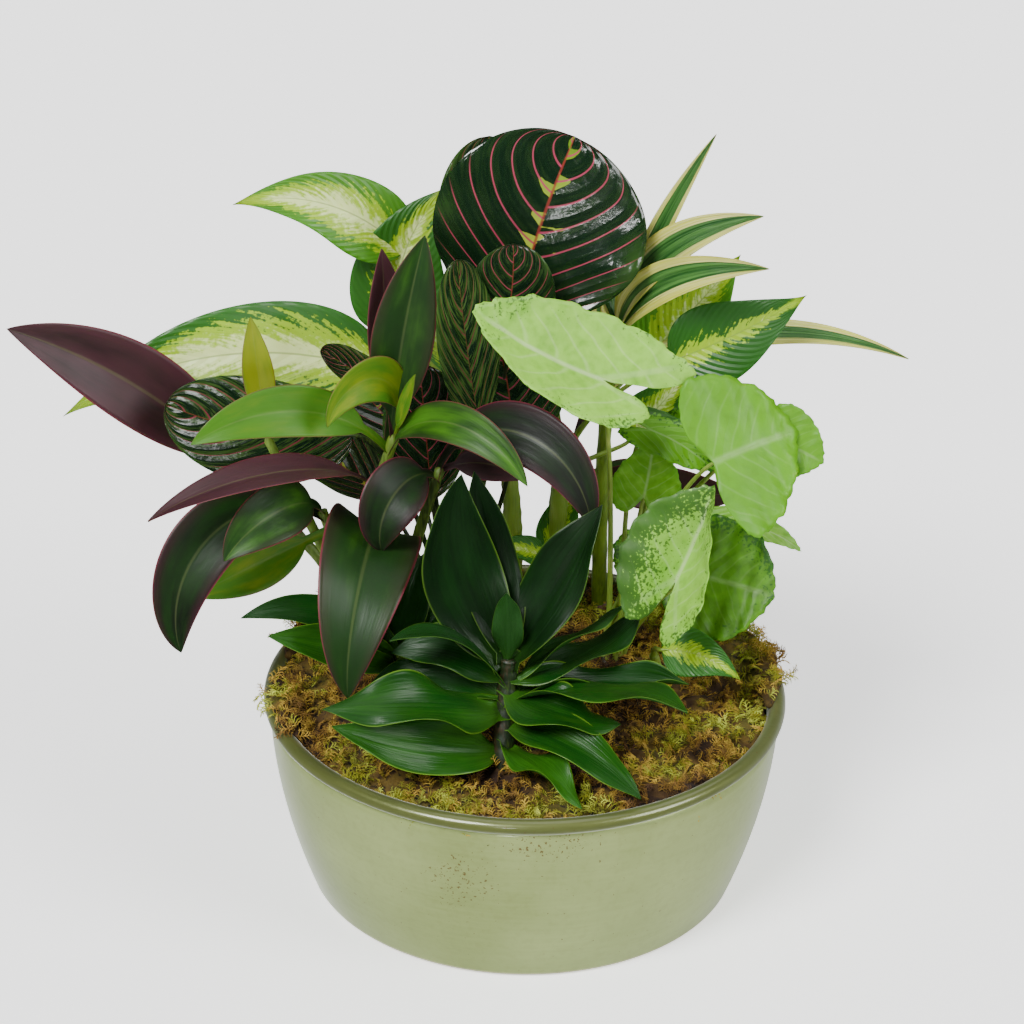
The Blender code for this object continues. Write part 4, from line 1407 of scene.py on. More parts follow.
@dataclass(frozen=True)
class Plant:
    """One rooted plant: its node, crown, canes and stalked leaves, and the finish of its stems."""

    node: str
    crown: tuple
    crown_radius: float
    form: Form
    slot: str
    canes: tuple = ()
    leaves: tuple = ()
    stem_tone: float = 0.4
    root_depth: float = 60
    crown_top: float = 97
    stalk_foot_radius: float = 1.6
    stalk_tip_radius: float = 0.9
    stalk_end_radius: float = 0.2
    stalk_rise: float = 0.9
    stalk_reach: float = 0.5
    stalk_runs_in: float = 0.1
    stem_sides: int = 10

    def stalk(self, foot: np.ndarray, leaf: Leaf, blade: Blade) -> Stem:
        """A leaf's own stalk, from its foot round into the blade.

        Args:
            foot: Where it starts.
            leaf: Its leaf.
            blade: The leaf's blade.

        Returns:
            The stalk.
        """
        along, _, upper = (way[0] for way in blade.ways(np.zeros(1)))
        seat = np.array(leaf.seat, float)
        arrive = unit(along + upper if leaf.form.outline else along)
        span = np.linalg.norm(seat - foot)
        leave = np.array([0, 0, span * self.stalk_rise])
        arrive = arrive * span * self.stalk_reach
        t = np.linspace(0, 1, STALK_STEPS)[:, None]
        line = (2 * t ** 3 - 3 * t ** 2 + 1) * foot + (t ** 3 - 2 * t ** 2 + t) * leave
        line = line + (3 * t ** 2 - 2 * t ** 3) * seat + (t ** 3 - t ** 2) * arrive
        radii = np.linspace(self.stalk_foot_radius, self.stalk_tip_radius, len(line))
        if leaf.form.outline:
            radii[-1] = self.stalk_end_radius
        else:
            end = blade.pick(blade.line, np.array([self.stalk_runs_in]))
            line = np.vstack([line, end])
            radii = np.append(radii, self.stalk_end_radius)
        return Stem(line, radii, self.stem_tone)

    def cane_stem(self, cane: Cane) -> Stem:
        """A cane from inside the crown to its growing tip, a little thicker at its joints.

        Args:
            cane: The cane.

        Returns:
            Its stem.
        """
        shares = np.linspace(0, 1, CANE_STEPS)
        line = [np.array([cane.foot[0], cane.foot[1], CROWN_SHOULDER - CANE_SINKS_IN])]
        line += [cane.point(share) for share in shares]
        radii = np.append(cane.foot_radius, np.linspace(cane.foot_radius, cane.top_radius, len(shares)))
        radii = radii * (1 + 0.07 * (np.arange(len(radii)) % 3 == 0))
        tip = line[-1] + (line[-1] - line[-2]) * 0.5
        return Stem(np.vstack(line + [tip]), np.append(radii, 0.3), self.stem_tone)

    def crown_stem(self) -> Stem:
        """The short crown that all stems rise from."""
        heights = np.array([self.root_depth, CROWN_SHOULDER - 2, CROWN_SHOULDER, self.crown_top])
        line = np.stack([np.full(4, self.crown[0]), np.full(4, self.crown[1]), heights], axis=-1)
        radii = np.array([1, 1, 0.9, 0.5]) * self.crown_radius
        return Stem(line, radii, 0.6)

    def crown_feet(self) -> dict:
        """The stalks' feet, spaced evenly round the crown, each on its leaf's side."""
        x, y = self.crown
        ring = self.crown_radius - STALK_RING_INSET

        def side(leaf: Leaf) -> float:
            """The leaf's direction from the crown."""
            return math.atan2(leaf.seat[1] - y, leaf.seat[0] - x)

        in_turn = sorted(self.leaves, key=side)
        feet = {}
        for number, leaf in enumerate(in_turn):
            angle = side(in_turn[0]) + 2 * math.pi * number / len(in_turn)
            foot = (x + ring * math.cos(angle), y + ring * math.sin(angle), CROWN_SHOULDER - STALK_SINKS_IN)
            feet[leaf] = np.array(foot)
        return feet

    def build(self) -> None:
        """Makes the plant's leaves and stems as two pieces that stand for its node."""
        stems = [self.crown_stem()]
        skin = Skin()
        feet = self.crown_feet()
        footed = [(cane.point(leaf.at), leaf) for cane in self.canes for leaf in cane.leaves]
        footed += [(feet[leaf], leaf) for leaf in self.leaves]
        for number, (foot, leaf) in enumerate(footed):
            blade = Blade(leaf, leaf.seat or foot)
            look = (leaf.tone, leaf.marks, number * LEAF_SEED_STEP + 1)
            skin.add(blade.surface(), leaf.form.thickness, look)
            if leaf.seat:
                stems.append(self.stalk(foot, leaf, blade))
        stems += [self.cane_stem(cane) for cane in self.canes]
        leaves = new_object(self.node + "_leaves", skin.mesh(self.node + "_leaves"))
        leaves.data.materials.append(self.form.finish.material())
        hand_over(leaves, [self.node])
        hand_over(self.sweep(stems), [self.node])

    def sweep(self, stems: list) -> bpy.types.Object:
        """All stems as one piece.

        Args:
            stems: Their lines and radii.

        Returns:
            The piece.
        """
        points, edges = [], []
        for stem in stems:
            first = sum(len(line) for line in points)
            edges += [(first + i, first + i + 1) for i in range(len(stem.line) - 1)]
            points.append(stem.line * MM)
        mesh = bpy.data.meshes.new(self.node + "_lines")
        mesh.from_pydata(np.vstack(points).tolist(), edges, [])
        radius = mesh.attributes.new("stem_radius", "FLOAT", "POINT")
        radius.data.foreach_set("value", np.concatenate([stem.radii for stem in stems]) * MM)
        look = mesh.attributes.new("look", "FLOAT_VECTOR", "POINT")
        tones = np.concatenate([np.full(len(stem.line), stem.tone) for stem in stems])
        look.data.foreach_set("vector", np.stack([tones, tones * 0, tones * 0], axis=-1).ravel())
        return Trees.plain(NodeTree.STEMS, self.node + "_stems", mesh, Sides=self.stem_sides,
                           Finish=STEM_FINISH.material())


ROSETTE = Plant(
    # Its stem tone picks the stem ramp's very dark green, partly painted shade at the rosette's heart
    "dragon_plant_front", (-10, -69), 8, DRAGON, "dragon_leaf", stem_tone=0.5,
    canes=(
        Cane((-10, -70, 95), (-9, -60, 124), (-8, -56, 144), 5.5, 4, leaves=(
            # Three broad blades that stand up
            Leaf(DRAGON, 100, 39, heading=155, rise=45, droop=-60, turn=10, roll=-60, at=0.95,
                 tone=0.15, marks=0.2),
            Leaf(DRAGON, 92, 29, heading=115, rise=60, droop=-20, turn=20, roll=-20, at=0.95,
                 tone=0.1, marks=0.2),
            Leaf(DRAGON, 89, 32, heading=20, rise=60, roll=35, at=0.9, tone=0.15, marks=0.2),
            # Blades that spread to the front
            Leaf(DRAGON, 95, 29, heading=-140, rise=30, droop=35, turn=-34, roll=-28, at=0.4, fold=6,
                 wave=0.5, shift=2, tone=0.6, marks=0.6),
            Leaf(DRAGON, 91, 27, heading=-145, rise=15, droop=-10, turn=-25, roll=-55, at=0.1, fold=20,
                 wave=0.3, shift=-1.6, tone=0.65, marks=0.9),
            Leaf(DRAGON, 60, 29, heading=-53, rise=0, droop=16, turn=72, roll=12, at=0.62, fold=6,
                 wave=0.31, shift=2.5, tone=0.6, marks=0.6),
            Leaf(DRAGON, 81, 24, heading=-40, rise=20, droop=60, turn=12, roll=20, at=0.3, fold=13,
                 wave=0.24, shift=3, tone=0.6, marks=0.8),
            Leaf(DRAGON, 63, 20, heading=-58, rise=21, droop=45, turn=8, at=0.12, fold=13, wave=0.5,
                 shift=1.5, tone=0.75, marks=0.7),
            # Short blades in the heart of the rosette
            Leaf(DRAGON, 77, 20, heading=-176, rise=71, droop=75, turn=36, at=0.6, fold=8, wave=0.07,
                 shift=0.7, tone=0.4, marks=0.3),
            Leaf(DRAGON, 60, 24, heading=-184, rise=50, droop=75, roll=-40, at=0.7, fold=14, wave=0.3,
                 shift=1.7, tone=0.35, marks=0.3),
            Leaf(DRAGON, 42, 15, heading=-100, rise=76, droop=-5, roll=10, at=0.96, wave=0.3, tone=0.35,
                 marks=0.4),
            # Narrow blades to the sides
            Leaf(DRAGON, 70, 14, heading=16, rise=33, droop=26, turn=29, roll=-18, at=0.7, fold=6,
                 wave=0.39, shift=-2.6, tone=0.6, marks=0.6),
            Leaf(DRAGON, 101, 33, heading=-8, rise=23, droop=18, turn=-45, roll=-11, at=0.5, fold=6,
                 wave=0.21, shift=-0.5, tone=0.6, marks=0.6),
            Leaf(DRAGON, 90, 23, heading=16, rise=5, droop=17, turn=-2, roll=14, at=0.55, fold=45,
                 wave=0.5, shift=-1, tone=0.5, marks=0.6),
            Leaf(DRAGON, 77, 31, heading=15, rise=-2, droop=-29, turn=32, roll=-10, at=0.75, fold=6,
                 wave=0.22, shift=-2.7, tone=0.4, marks=0.4),
            Leaf(DRAGON, 71, 22, heading=165, rise=30, droop=65, turn=5, roll=-30, at=0.5,
                 tone=0.45, marks=0.5),
        )),
    ),
)

SIDE_ROSETTE = Plant(
    "dragon_plant_side", (-62, -22), 6, DRAGON, "dragon_leaf", stem_tone=0.35,
    canes=(
        Cane((-62, -22, 95), (-61, -28, 114), (-59, -34, 133), 4, 3.2, leaves=(
            Leaf(DRAGON, 85, 18, heading=180, rise=55, droop=70, turn=15, roll=-45, at=0.9,
                 tone=0.5, marks=0.7),
            Leaf(DRAGON, 73, 22, heading=-150, rise=35, droop=20, turn=-10, roll=-60, at=0.8,
                 tone=0.7, marks=0.7),
            Leaf(DRAGON, 55, 20, heading=75, rise=65, droop=40, at=0.9, tone=0.4, marks=0.5),
            Leaf(DRAGON, 50, 19, heading=35, rise=60, droop=50, roll=20, at=0.8, tone=0.4, marks=0.5),
            Leaf(DRAGON, 50, 18, heading=130, rise=45, droop=60, at=0.8, tone=0.5, marks=0.5),
        )),
    ),
)

TI_PLANT = Plant(
    "ti_plant", (-69, 38), 13, TI, "ti_leaf", stem_tone=0.35,
    canes=(
        # The tallest cane, with a hanging blade low on it
        Cane((-68, 34, 103), (-76, 16, 160), (-64, 4, 228), 3.6, 2.6, leaves=(
            Leaf(TI, 110, 25, heading=-150, rise=55, droop=85, turn=-10, roll=-60, at=0.95,
                 tone=0.22, marks=0.3),
            Leaf(TI, 80, 22, heading=-125, rise=125, droop=200, turn=-15, roll=-80, at=1,
                 tone=0.12, marks=0.5),
            Leaf(TI, 42, 8, heading=-55, rise=65, droop=-5, turn=10, roll=90, at=1, tone=0.15,
                 marks=0.4),
            Leaf(TI, 107, 20, heading=-45, rise=75, droop=130, turn=15, roll=50, at=0.9, tone=0.36,
                 marks=0.6),
            Leaf(TI, 133, 20, heading=-125, rise=45, droop=80, turn=-50, roll=-20, at=0.8,
                 tone=0.95, marks=0.8),
            Leaf(TI, 106, 30, heading=45, rise=85, droop=15, roll=45, at=0.95, tone=0.45, marks=0.5),
            Leaf(TI, 90, 24, heading=105, rise=70, droop=-10, roll=20, at=1, tone=0.95, marks=0.7),
            Leaf(TI, 181, 47, heading=-80, rise=110, droop=210, turn=-30, roll=-20, at=0.15,
                 tone=0.49, marks=0.9),
        )),
        # Two canes that lean left
        Cane((-71, 38, 98), (-85, 14, 150), (-98, 4, 189), 3.4, 2.6, leaves=(
            Leaf(TI, 75, 28, heading=-110, rise=50, droop=105, turn=-45, roll=-55, at=1, tone=0.42,
                 marks=0.8),
            Leaf(TI, 127, 32, heading=-160, rise=40, droop=150, turn=30, roll=-50, at=0.95,
                 tone=0.6, marks=0.8),
            Leaf(TI, 75, 26, heading=175, rise=-30, droop=-10, turn=30, roll=-65, at=0.85,
                 tone=0.18, marks=0.5),
        )),
        Cane((-73, 42, 98), (-96, 28, 150), (-123, 8, 224), 3.4, 2.2, leaves=(
            Leaf(TI, 52, 22, heading=-165, rise=-30, droop=5, turn=5, roll=-50, at=0.9, tone=0.3,
                 marks=0.4),
            Leaf(TI, 71, 15, heading=-110, rise=75, droop=-5, turn=-5, roll=-150, at=1, tone=0,
                 marks=0.8),
        )),
        # The cane of the long blade that reaches far to the left
        Cane((-70, 44, 98), (-102, 52, 137), (-131, 52, 174), 3.2, 2.4, leaves=(
            Leaf(TI, 157, 40, heading=-170, rise=55, droop=30, turn=10, roll=-65, at=1, tone=0.9,
                 marks=0.7),
        )),
        # The cane that leans right
        Cane((-65, 34, 102), (-56, 14, 158), (-42, 6, 211), 3.4, 2.4, leaves=(
            Leaf(TI, 122, 29, heading=-25, rise=80, droop=165, turn=-10, roll=50, at=0.95,
                 tone=0.66, marks=0.7),
            Leaf(TI, 43, 17, heading=-5, rise=30, droop=65, turn=-5, roll=55, at=1, tone=0.9, marks=0.7),
            Leaf(TI, 65, 29, heading=-125, rise=50, droop=160, turn=-10, roll=-40, at=0.95,
                 tone=0.62, marks=0.6),
        )),
    ),
)

BACK_TI_PLANT = Plant(
    "ti_plant_back", (17, 92), 6, TI, "ti_leaf", stem_tone=0.35,
    canes=(
        Cane((17, 92, 100), (14, 92, 153), (23, 90, 188), 3.4, 2.4, leaves=(
            Leaf(TI, 94, 24, heading=-15, rise=-5, droop=-10, roll=65, at=0.7, tone=1, marks=0.6),
            Leaf(TI, 107, 26, heading=135, rise=25, droop=100, roll=-80, at=0.9, tone=0.4, marks=0.6),
            Leaf(TI, 83, 26, heading=75, rise=35, droop=110, turn=5, roll=65, at=1, tone=0.8, marks=0.7),
            Leaf(TI, 100, 24, heading=35, rise=5, droop=70, turn=-5, roll=80, at=0.6, tone=0.5,
                 marks=0.6),
        )),
    ),
)

PRAYER_PLANT = Plant(
    "prayer_plant", (-35, 50), 9, PRAYER, "prayer_leaf", stem_tone=0.5,
    leaves=(
        # The round leaf at the top, with two behind and before it
        Leaf(PRAYER, 89, 101, heading=20, rise=80, droop=20, turn=20, roll=60, seat=(-7, 36, 279),
             tone=0.1, marks=1),
        Leaf(PRAYER, 86, 54, heading=130, rise=80, droop=-5, turn=-15, roll=-30, seat=(-15, 60,
             270), tone=0.5, marks=0.5),
        Leaf(PRAYER, 51, 41, heading=-65, rise=65, droop=-30, turn=5, roll=150, seat=(-13, 26,
             272), tone=0.3, marks=0.1),
        # Leaves among the ti canes
        Leaf(PRAYER, 83, 31, heading=175, rise=80, droop=-5, turn=-5, roll=-55, seat=(-24, 10,
             234), tone=0.8, marks=0.1),
        Leaf(PRAYER, 68, 54, heading=165, rise=90, droop=20, turn=-5, roll=-65, seat=(-8, 36, 208),
             tone=0.3, marks=0.1),
        Leaf(PRAYER, 94, 51, heading=-170, rise=0, droop=-30, turn=5, roll=-65, seat=(-85, 40,
             212), tone=0.6, marks=0.1),
        Leaf(PRAYER, 47, 22, heading=-175, rise=40, droop=5, turn=10, roll=-35, seat=(-63, 40,
             231), tone=0.2, marks=0.1),
        Leaf(PRAYER, 63, 41, heading=120, rise=80, turn=5, roll=-30, seat=(-47, 28, 189), tone=0.2,
             marks=0.1),
        # Leaves on the back
        Leaf(PRAYER, 88, 66, heading=115, rise=45, droop=50, turn=5, seat=(-52, 92, 150), tone=0.4,
             marks=0.6),
        Leaf(PRAYER, 84, 60, heading=160, rise=40, droop=45, seat=(-72, 66, 165), tone=0.3, marks=0.7),
        Leaf(PRAYER, 86, 62, heading=95, rise=60, droop=50, seat=(-22, 96, 185), tone=0.5, marks=0.6),
    ),
)

DUMB_CANE_LEFT = Plant(
    "dumb_cane_left", (-9, 62), 7, DUMB, "dumb_cane_leaf", stem_tone=0.25,
    canes=(
        Cane((-9, 62, 100), (-7, 60, 146), (-10, 60, 185), 5.5, 4, leaves=(
            Leaf(DUMB, 91, 38, heading=-175, rise=50, droop=60, turn=15, roll=-60, at=1,
                 seat=(-62, 72, 295), tone=0.8, marks=0.56),
            Leaf(DUMB, 81, 47, heading=10, rise=105, droop=65, roll=75, at=1, seat=(-62, 70, 255),
                 tone=0.45, marks=0.45),
            Leaf(DUMB, 162, 51, heading=180, rise=20, droop=55, turn=10, roll=-60, at=0.9,
                 seat=(-73, 68, 233), tone=0.4, marks=0.6),
            Leaf(DUMB, 32, 17, heading=-155, rise=30, droop=20, roll=-35, at=0.4, seat=(9, 52,
                 142), tone=0.5, marks=0.4),
            Leaf(DUMB, 110, 50, heading=125, rise=50, droop=75, turn=5, at=1, seat=(-25, 88, 215),
                 tone=0.5, marks=0.6),
        )),
    ),
)

DUMB_CANE_RIGHT = Plant(
    "dumb_cane_right", (17, 68), 7, DUMB, "dumb_cane_leaf", stem_tone=0.25,
    canes=(
        Cane((17, 68, 100), (15, 66, 143), (17, 62, 184), 5.5, 4, leaves=(
            Leaf(DUMB, 72, 47, heading=0, rise=50, droop=-5, turn=-5, roll=75, at=1, seat=(57, 86,
                 234), tone=0.85, marks=0.45),
            Leaf(DUMB, 74, 40, heading=-5, rise=25, droop=-15, turn=-10, roll=75, at=1, seat=(67,
                 40, 254), tone=0.3, marks=0.2),
            Leaf(DUMB, 48, 27, heading=0, rise=55, droop=5, roll=70, at=0.9, seat=(49, 56, 204),
                 tone=0.5, marks=0.5),
            Leaf(DUMB, 43, 20, heading=25, rise=70, roll=55, at=0.3, seat=(11, 62, 139), tone=0.5,
                 marks=0.4),
            Leaf(DUMB, 106, 48, heading=115, rise=55, droop=80, at=1, seat=(12, 96, 212), tone=0.5,
                 marks=0.6),
        )),
    ),
)

SMALL_DUMB_CANE = Plant(
    "dumb_cane_small", (64, 2), 5, DUMB, "dumb_cane_leaf", stem_tone=0.25,
    canes=(
        Cane((64, 2, 95), (64, 0, 107), (62, -4, 118), 3, 2.2, leaves=(
            Leaf(DUMB, 42, 24, heading=-20, rise=15, droop=50, turn=-5, roll=60, at=1, seat=(65,
                 -20, 130), tone=0.5, marks=0.3),
        )),
    ),
)

ARROWHEAD_VINE = Plant(
    "arrowhead_vine", (43, 36), 9, ARROW, "arrowhead_leaf", stem_tone=0.2,
    leaves=(
        Leaf(ARROW, 74, 55, heading=193, rise=25, droop=-19, turn=6, roll=-51, seat=(31, 2, 262),
             lobes=(0.56, 1), fold=26, tone=0.18, marks=0.24),
        Leaf(HEART, 30, 32, heading=-30, rise=80, droop=-5, roll=115, seat=(56, 26, 190),
             tone=0.45, marks=0.1),
        Leaf(ARROW, 36, 20, heading=-15, rise=-15, droop=30, turn=5, roll=65, seat=(58, 20, 227),
             lobes=(0.7, 0.7), tone=0.55, marks=0.6),
        Leaf(HEART, 23, 17, heading=-15, rise=65, turn=5, roll=85, seat=(66, 26, 219), tone=0.55,
             marks=0.5),
        Leaf(HEART, 46, 74, heading=25, rise=15, droop=15, turn=10, roll=55, seat=(88, -2, 222),
             lobes=(0.45, 0.35), tone=0.58, marks=0.05),
        Leaf(HEART, 26, 34, heading=-5, rise=-20, droop=10, roll=65, seat=(117, 20, 223), tone=0.6,
             marks=0.1),
        Leaf(ARROW, 48, 64, heading=36, rise=59, droop=-19, turn=-21, roll=25,
             seat=(71, -22, 171), lobes=(0.97, 1.1), fold=46, tone=0.15, marks=1),
        Leaf(ARROW, 34, 58, heading=-15, rise=-5, droop=5, turn=-5, roll=60, seat=(86, -2, 160),
             lobes=(1, 0.9), tone=0.85, marks=0.4),
        Leaf(HEART, 42, 14, heading=0, rise=0, droop=40, turn=-10, roll=45, seat=(94, 20, 179),
             tone=0.3, marks=0.05),
        # Leaves on the back
        Leaf(ARROW, 52, 52, heading=35, rise=-5, droop=45, seat=(80, 60, 138), tone=0.5, marks=0.5),
        Leaf(ARROW, 50, 50, heading=60, rise=-10, droop=45, seat=(72, 82, 130), tone=0.4, marks=0.4),
    ),
)

STRIPED_DRAGON_PLANT = Plant(
    "striped_dragon_plant", (39, 92), 6, STRIPED, "striped_leaf", stem_tone=0.3,
    canes=(
        Cane((38, 92, 92), (37, 70, 192), (42, 58, 261), 4, 2.6, leaves=(
            Leaf(STRIPED, 113, 12, heading=-25, rise=75, droop=15, turn=25, roll=70, at=1),
            Leaf(STRIPED, 106, 22, heading=-45, rise=80, droop=70, turn=40, roll=60, at=1),
            Leaf(STRIPED, 104, 20, heading=-60, rise=65, droop=65, turn=45, roll=85, at=1, marks=0.6),
            Leaf(STRIPED, 152, 15, heading=-5, rise=40, droop=60, turn=-5, roll=45, at=0.75, marks=0.7),
            Leaf(STRIPED, 106, 16, heading=125, rise=65, droop=75, at=1),
            Leaf(STRIPED, 110, 17, heading=85, rise=65, droop=80, at=0.85, marks=0.6),
            Leaf(STRIPED, 105, 16, heading=90, rise=45, droop=85, turn=5, at=0.7),
        )),
    ),
)

PLANTS = (ROSETTE, SIDE_ROSETTE, TI_PLANT, BACK_TI_PLANT, PRAYER_PLANT, DUMB_CANE_LEFT,
          DUMB_CANE_RIGHT, SMALL_DUMB_CANE, ARROWHEAD_VINE, STRIPED_DRAGON_PLANT)


def turned_mesh(name: str, profile: Sequence[Point], sides: int) -> bpy.types.Mesh:
    """A closed solid turned about the upright axis.

    Args:
        name: The mesh's name.
        profile: Radius and height of each point, from the axis round to the axis.
        sides: Sides of each round.

    Returns:
        The mesh, shaded smooth, with its faces pointing out.
    """
    form = bmesh.new()
    verts = [form.verts.new((radius * MM, 0, height * MM)) for radius, height in profile]
    edges = [form.edges.new(pair) for pair in zip(verts[:-1], verts[1:])]
    bmesh.ops.spin(form, geom=verts + edges, cent=(0, 0, 0), axis=(0, 0, 1), angle=2 * math.pi,
                   steps=sides, use_merge=True)
    bmesh.ops.remove_doubles(form, verts=form.verts, dist=1e-6)
    bmesh.ops.recalc_face_normals(form, faces=form.faces)
    mesh = bpy.data.meshes.new(name)
    form.to_mesh(mesh)
    form.free()
    mesh.shade_smooth()
    mesh.set_sharp_from_angle(angle=math.radians(SHARP_ANGLE))
    return mesh


@dataclass(frozen=True)
class Bowl:
    """The round glazed bowl, turned to the part's profile with smooth curves."""

    rim_radius: float = 127
    height: float = 98.5
    rim_roll_width: float = 8
    rim_roll_height: float = 7
    neck_radius: float = 124
    neck_height: float = 91
    foot_radius: float = 105
    foot_rounding: float = 3
    swell: float = 1.8
    wall: float = 6
    floor: float = 9
    floor_rounding: float = 4
    groove: float = 0.8
    rim_turn: range = range(-50, 181, 15)
    outside_steps: int = 26
    inside_steps: int = 16
    sides: int = 180

    def wall_radius(self, height: float) -> float:
        """The outer radius at a height."""
        swell = max(0, 1 - height / self.neck_height) ** self.swell
        return self.neck_radius - (self.neck_radius - self.foot_radius) * swell

    def profile(self) -> list:
        """The profile from the middle of the foot, up the outside, over the rim and down inside."""
        rounding = self.foot_rounding
        foot = [(0, 0), (self.foot_radius - rounding, 0)]
        corner = self.wall_radius(rounding)
        for degrees in (30, 60):
            turn = math.radians(degrees)
            foot.append((self.foot_radius - rounding + (corner - self.foot_radius + rounding)
                         * math.sin(turn), rounding * (1 - math.cos(turn))))
        heights = np.linspace(rounding, self.neck_height - 2, self.outside_steps)
        outside = [(self.wall_radius(z), z) for z in heights]
        outside += [(self.neck_radius - self.groove, self.neck_height - 0.6)]
        middle = (self.rim_radius - self.rim_roll_width / 2, self.height - self.rim_roll_height / 2)
        rim = []
        for degrees in self.rim_turn:
            turn = math.radians(degrees)
            rim.append((middle[0] + self.rim_roll_width / 2 * math.cos(turn),
                        middle[1] + self.rim_roll_height / 2 * math.sin(turn)))
        heights = np.linspace(self.neck_height - 1, self.floor + 6, self.inside_steps)
        inside = [(self.wall_radius(z) - self.wall, z) for z in heights]
        flat = self.wall_radius(self.floor) - self.wall - self.floor_rounding
        return foot + outside + rim + inside + [(flat, self.floor), (0, self.floor)]

    def build(self) -> None:
        """Makes the bowl and its glaze."""
        piece = new_object("glazed_bowl", turned_mesh("glazed_bowl", self.profile(), self.sides))
        piece.data.materials.append(GlazeFinish("sage_glaze", 0.3).material())
        hand_over(piece, ["bowl"])


@dataclass(frozen=True)
class Moss:
    """The sheet moss: a lumpy mat with tufts all over it, and clumps on the rim with their wisps.

    A clump is given by its angle round the bowl, its span in degrees and its height.
    """

    edge_radius: float = 117
    edge_height: float = 92
    bottom: float = 84.3
    dome: float = 3.5
    mounds: tuple = (((98, 42), 26, 14), ((-102, 22), 22, 10), ((-20, 104), 30, 5))
    rings: int = 50
    sectors: int = 160
    tuft_density: float = 42000
    tuft_sizes: tuple = (0.55, 1.25)
    tuft_layers: int = 2
    sprig_length: float = 9
    sprig_branches: int = 9
    clumps: tuple = ((15, 46, 5.5), (-169, 30, 4), (152, 34, 6.5))
    clump_radius: float = 119
    clump_level: float = 98
    clump_density: float = 90000
    clump_sizes: tuple = (0.7, 1.4)
    clump_steps: int = 18
    clump_sides: int = 12
    seed: int = 4

    def height(self, x: float, y: float) -> float:
        """The mat's height at a place, as in the part, with fine lumps added."""
        height = self.edge_height + self.dome * (1 - (math.hypot(x, y) / self.edge_radius) ** 2)
        height += 1.2 * math.sin(0.16 * x + 1.3) * math.cos(0.14 * y)
        height += 0.9 * math.sin(0.29 * y + 0.11 * x)
        height += 0.6 * math.sin(0.37 * x - 0.2 * y)
        for centre, spread, rise in self.mounds:
            away = math.hypot(x - centre[0], y - centre[1]) / spread
            height += rise * math.exp(-away * away)
        height += 2 * noise.fractal(Vector((x, y, 0)) * 0.11, 1, 2, 4)
        height += 2.6 * noise.noise(Vector((x, y, 7)) * 0.075)
        return height

    def mat_mesh(self) -> bpy.types.Mesh:
        """The mat as a closed mesh."""
        angles = [2 * math.pi * sector / self.sectors for sector in range(self.sectors)]
        points = [(0, 0, self.height(0, 0))]
        for ring in range(1, self.rings + 1):
            radius = self.edge_radius * ring / self.rings
            for angle in angles:
                x, y = radius * math.cos(angle), radius * math.sin(angle)
                points.append((x, y, self.height(x, y)))
        points += [(self.edge_radius * math.cos(a), self.edge_radius * math.sin(a), self.bottom)
                   for a in angles]
        count = self.sectors
        faces = [(0, 1 + sector, 1 + (sector + 1) % count) for sector in range(count)]
        for ring in range(self.rings):
            inner = 1 + ring * count
            outer = inner + count
            faces += [(inner + s, outer + s, outer + (s + 1) % count, inner + (s + 1) % count)
                      for s in range(count)]
        underside = 1 + self.rings * count
        faces.append(tuple(underside + sector for sector in reversed(range(count))))
        mesh = bpy.data.meshes.new("moss_mat")
        mesh.from_pydata([tuple(np.array(point) * MM) for point in points], [], faces)
        mesh.shade_smooth()
        return mesh

    def clump_mesh(self) -> bpy.types.Mesh:
        """Long lumps of moss that lie over the rim, each a closed solid."""
        form = bmesh.new()
        steps, sides = self.clump_steps, self.clump_sides
        for angle, span, height in self.clumps:
            rings = []
            for step in range(steps + 1):
                turn = math.radians(angle + span * (step / steps - 0.5))
                size = max(0.08, math.sin(math.pi * step / steps)) ** 0.6
                ring = []
                for side in range(sides):
                    around = 2 * math.pi * side / sides
                    lump = 1 + 0.35 * noise.noise(Vector((turn * 9, math.cos(around), math.sin(around))))
                    radius = self.clump_radius + height * 1.4 * size * lump * math.cos(around)
                    level = self.clump_level + height * size * lump * math.sin(around)
                    place = (radius * math.cos(turn), radius * math.sin(turn), level)
                    ring.append(form.verts.new(Vector(place) * MM))
                rings.append(ring)
            for before, after in zip(rings, rings[1:]):
                for side in range(sides):
                    beside = (side + 1) % sides
                    form.faces.new((before[side], after[side], after[beside], before[beside]))
            form.faces.new(reversed(rings[-1]))
            form.faces.new(rings[0])
        bmesh.ops.recalc_face_normals(form, faces=form.faces)
        mesh = bpy.data.meshes.new("moss_clumps")
        form.to_mesh(mesh)
        form.free()
        mesh.shade_smooth()
        return mesh

    def sprig(self, name: str, length: float, branches: int) -> bpy.types.Object:
        """A feathery sprig of moss that arches over: a stem, side branches and leaflets on them.

        Args:
            name: Its name.
            length: How long its stem is.
            branches: How many side branches it has.

        Returns:
            The sprig, to be scattered and then removed.
        """
        rng = np.random.default_rng(branches)
        points, faces, reaches = [], [], []

        def spike(foot: np.ndarray, tip: np.ndarray, width: float, reach: float) -> None:
            """Adds a three-sided spike; reach says how far out on the sprig it is."""
            way = unit(tip - foot)
            side = unit(np.cross(way, [0.3, 0.9, 0.2])) * width
            other = np.cross(way, side)
            first = len(points)
            corners = [foot + side, foot - side / 2 + other * 0.87, foot - side / 2 - other * 0.87]
            points.extend(corners + [tip])
            reaches.extend([reach] * 3 + [min(1, reach + 0.35)])
            faces.extend([(first, first + 2, first + 1), (first, first + 1, first + 3),
                          (first + 1, first + 2, first + 3), (first + 2, first, first + 3)])

        def stem_point(share: float) -> np.ndarray:
            """The arching stem's point."""
            curl = 1.8 * share
            return length * np.array([0.5 * (1 - math.cos(curl)), 0, 0.55 * math.sin(curl)])

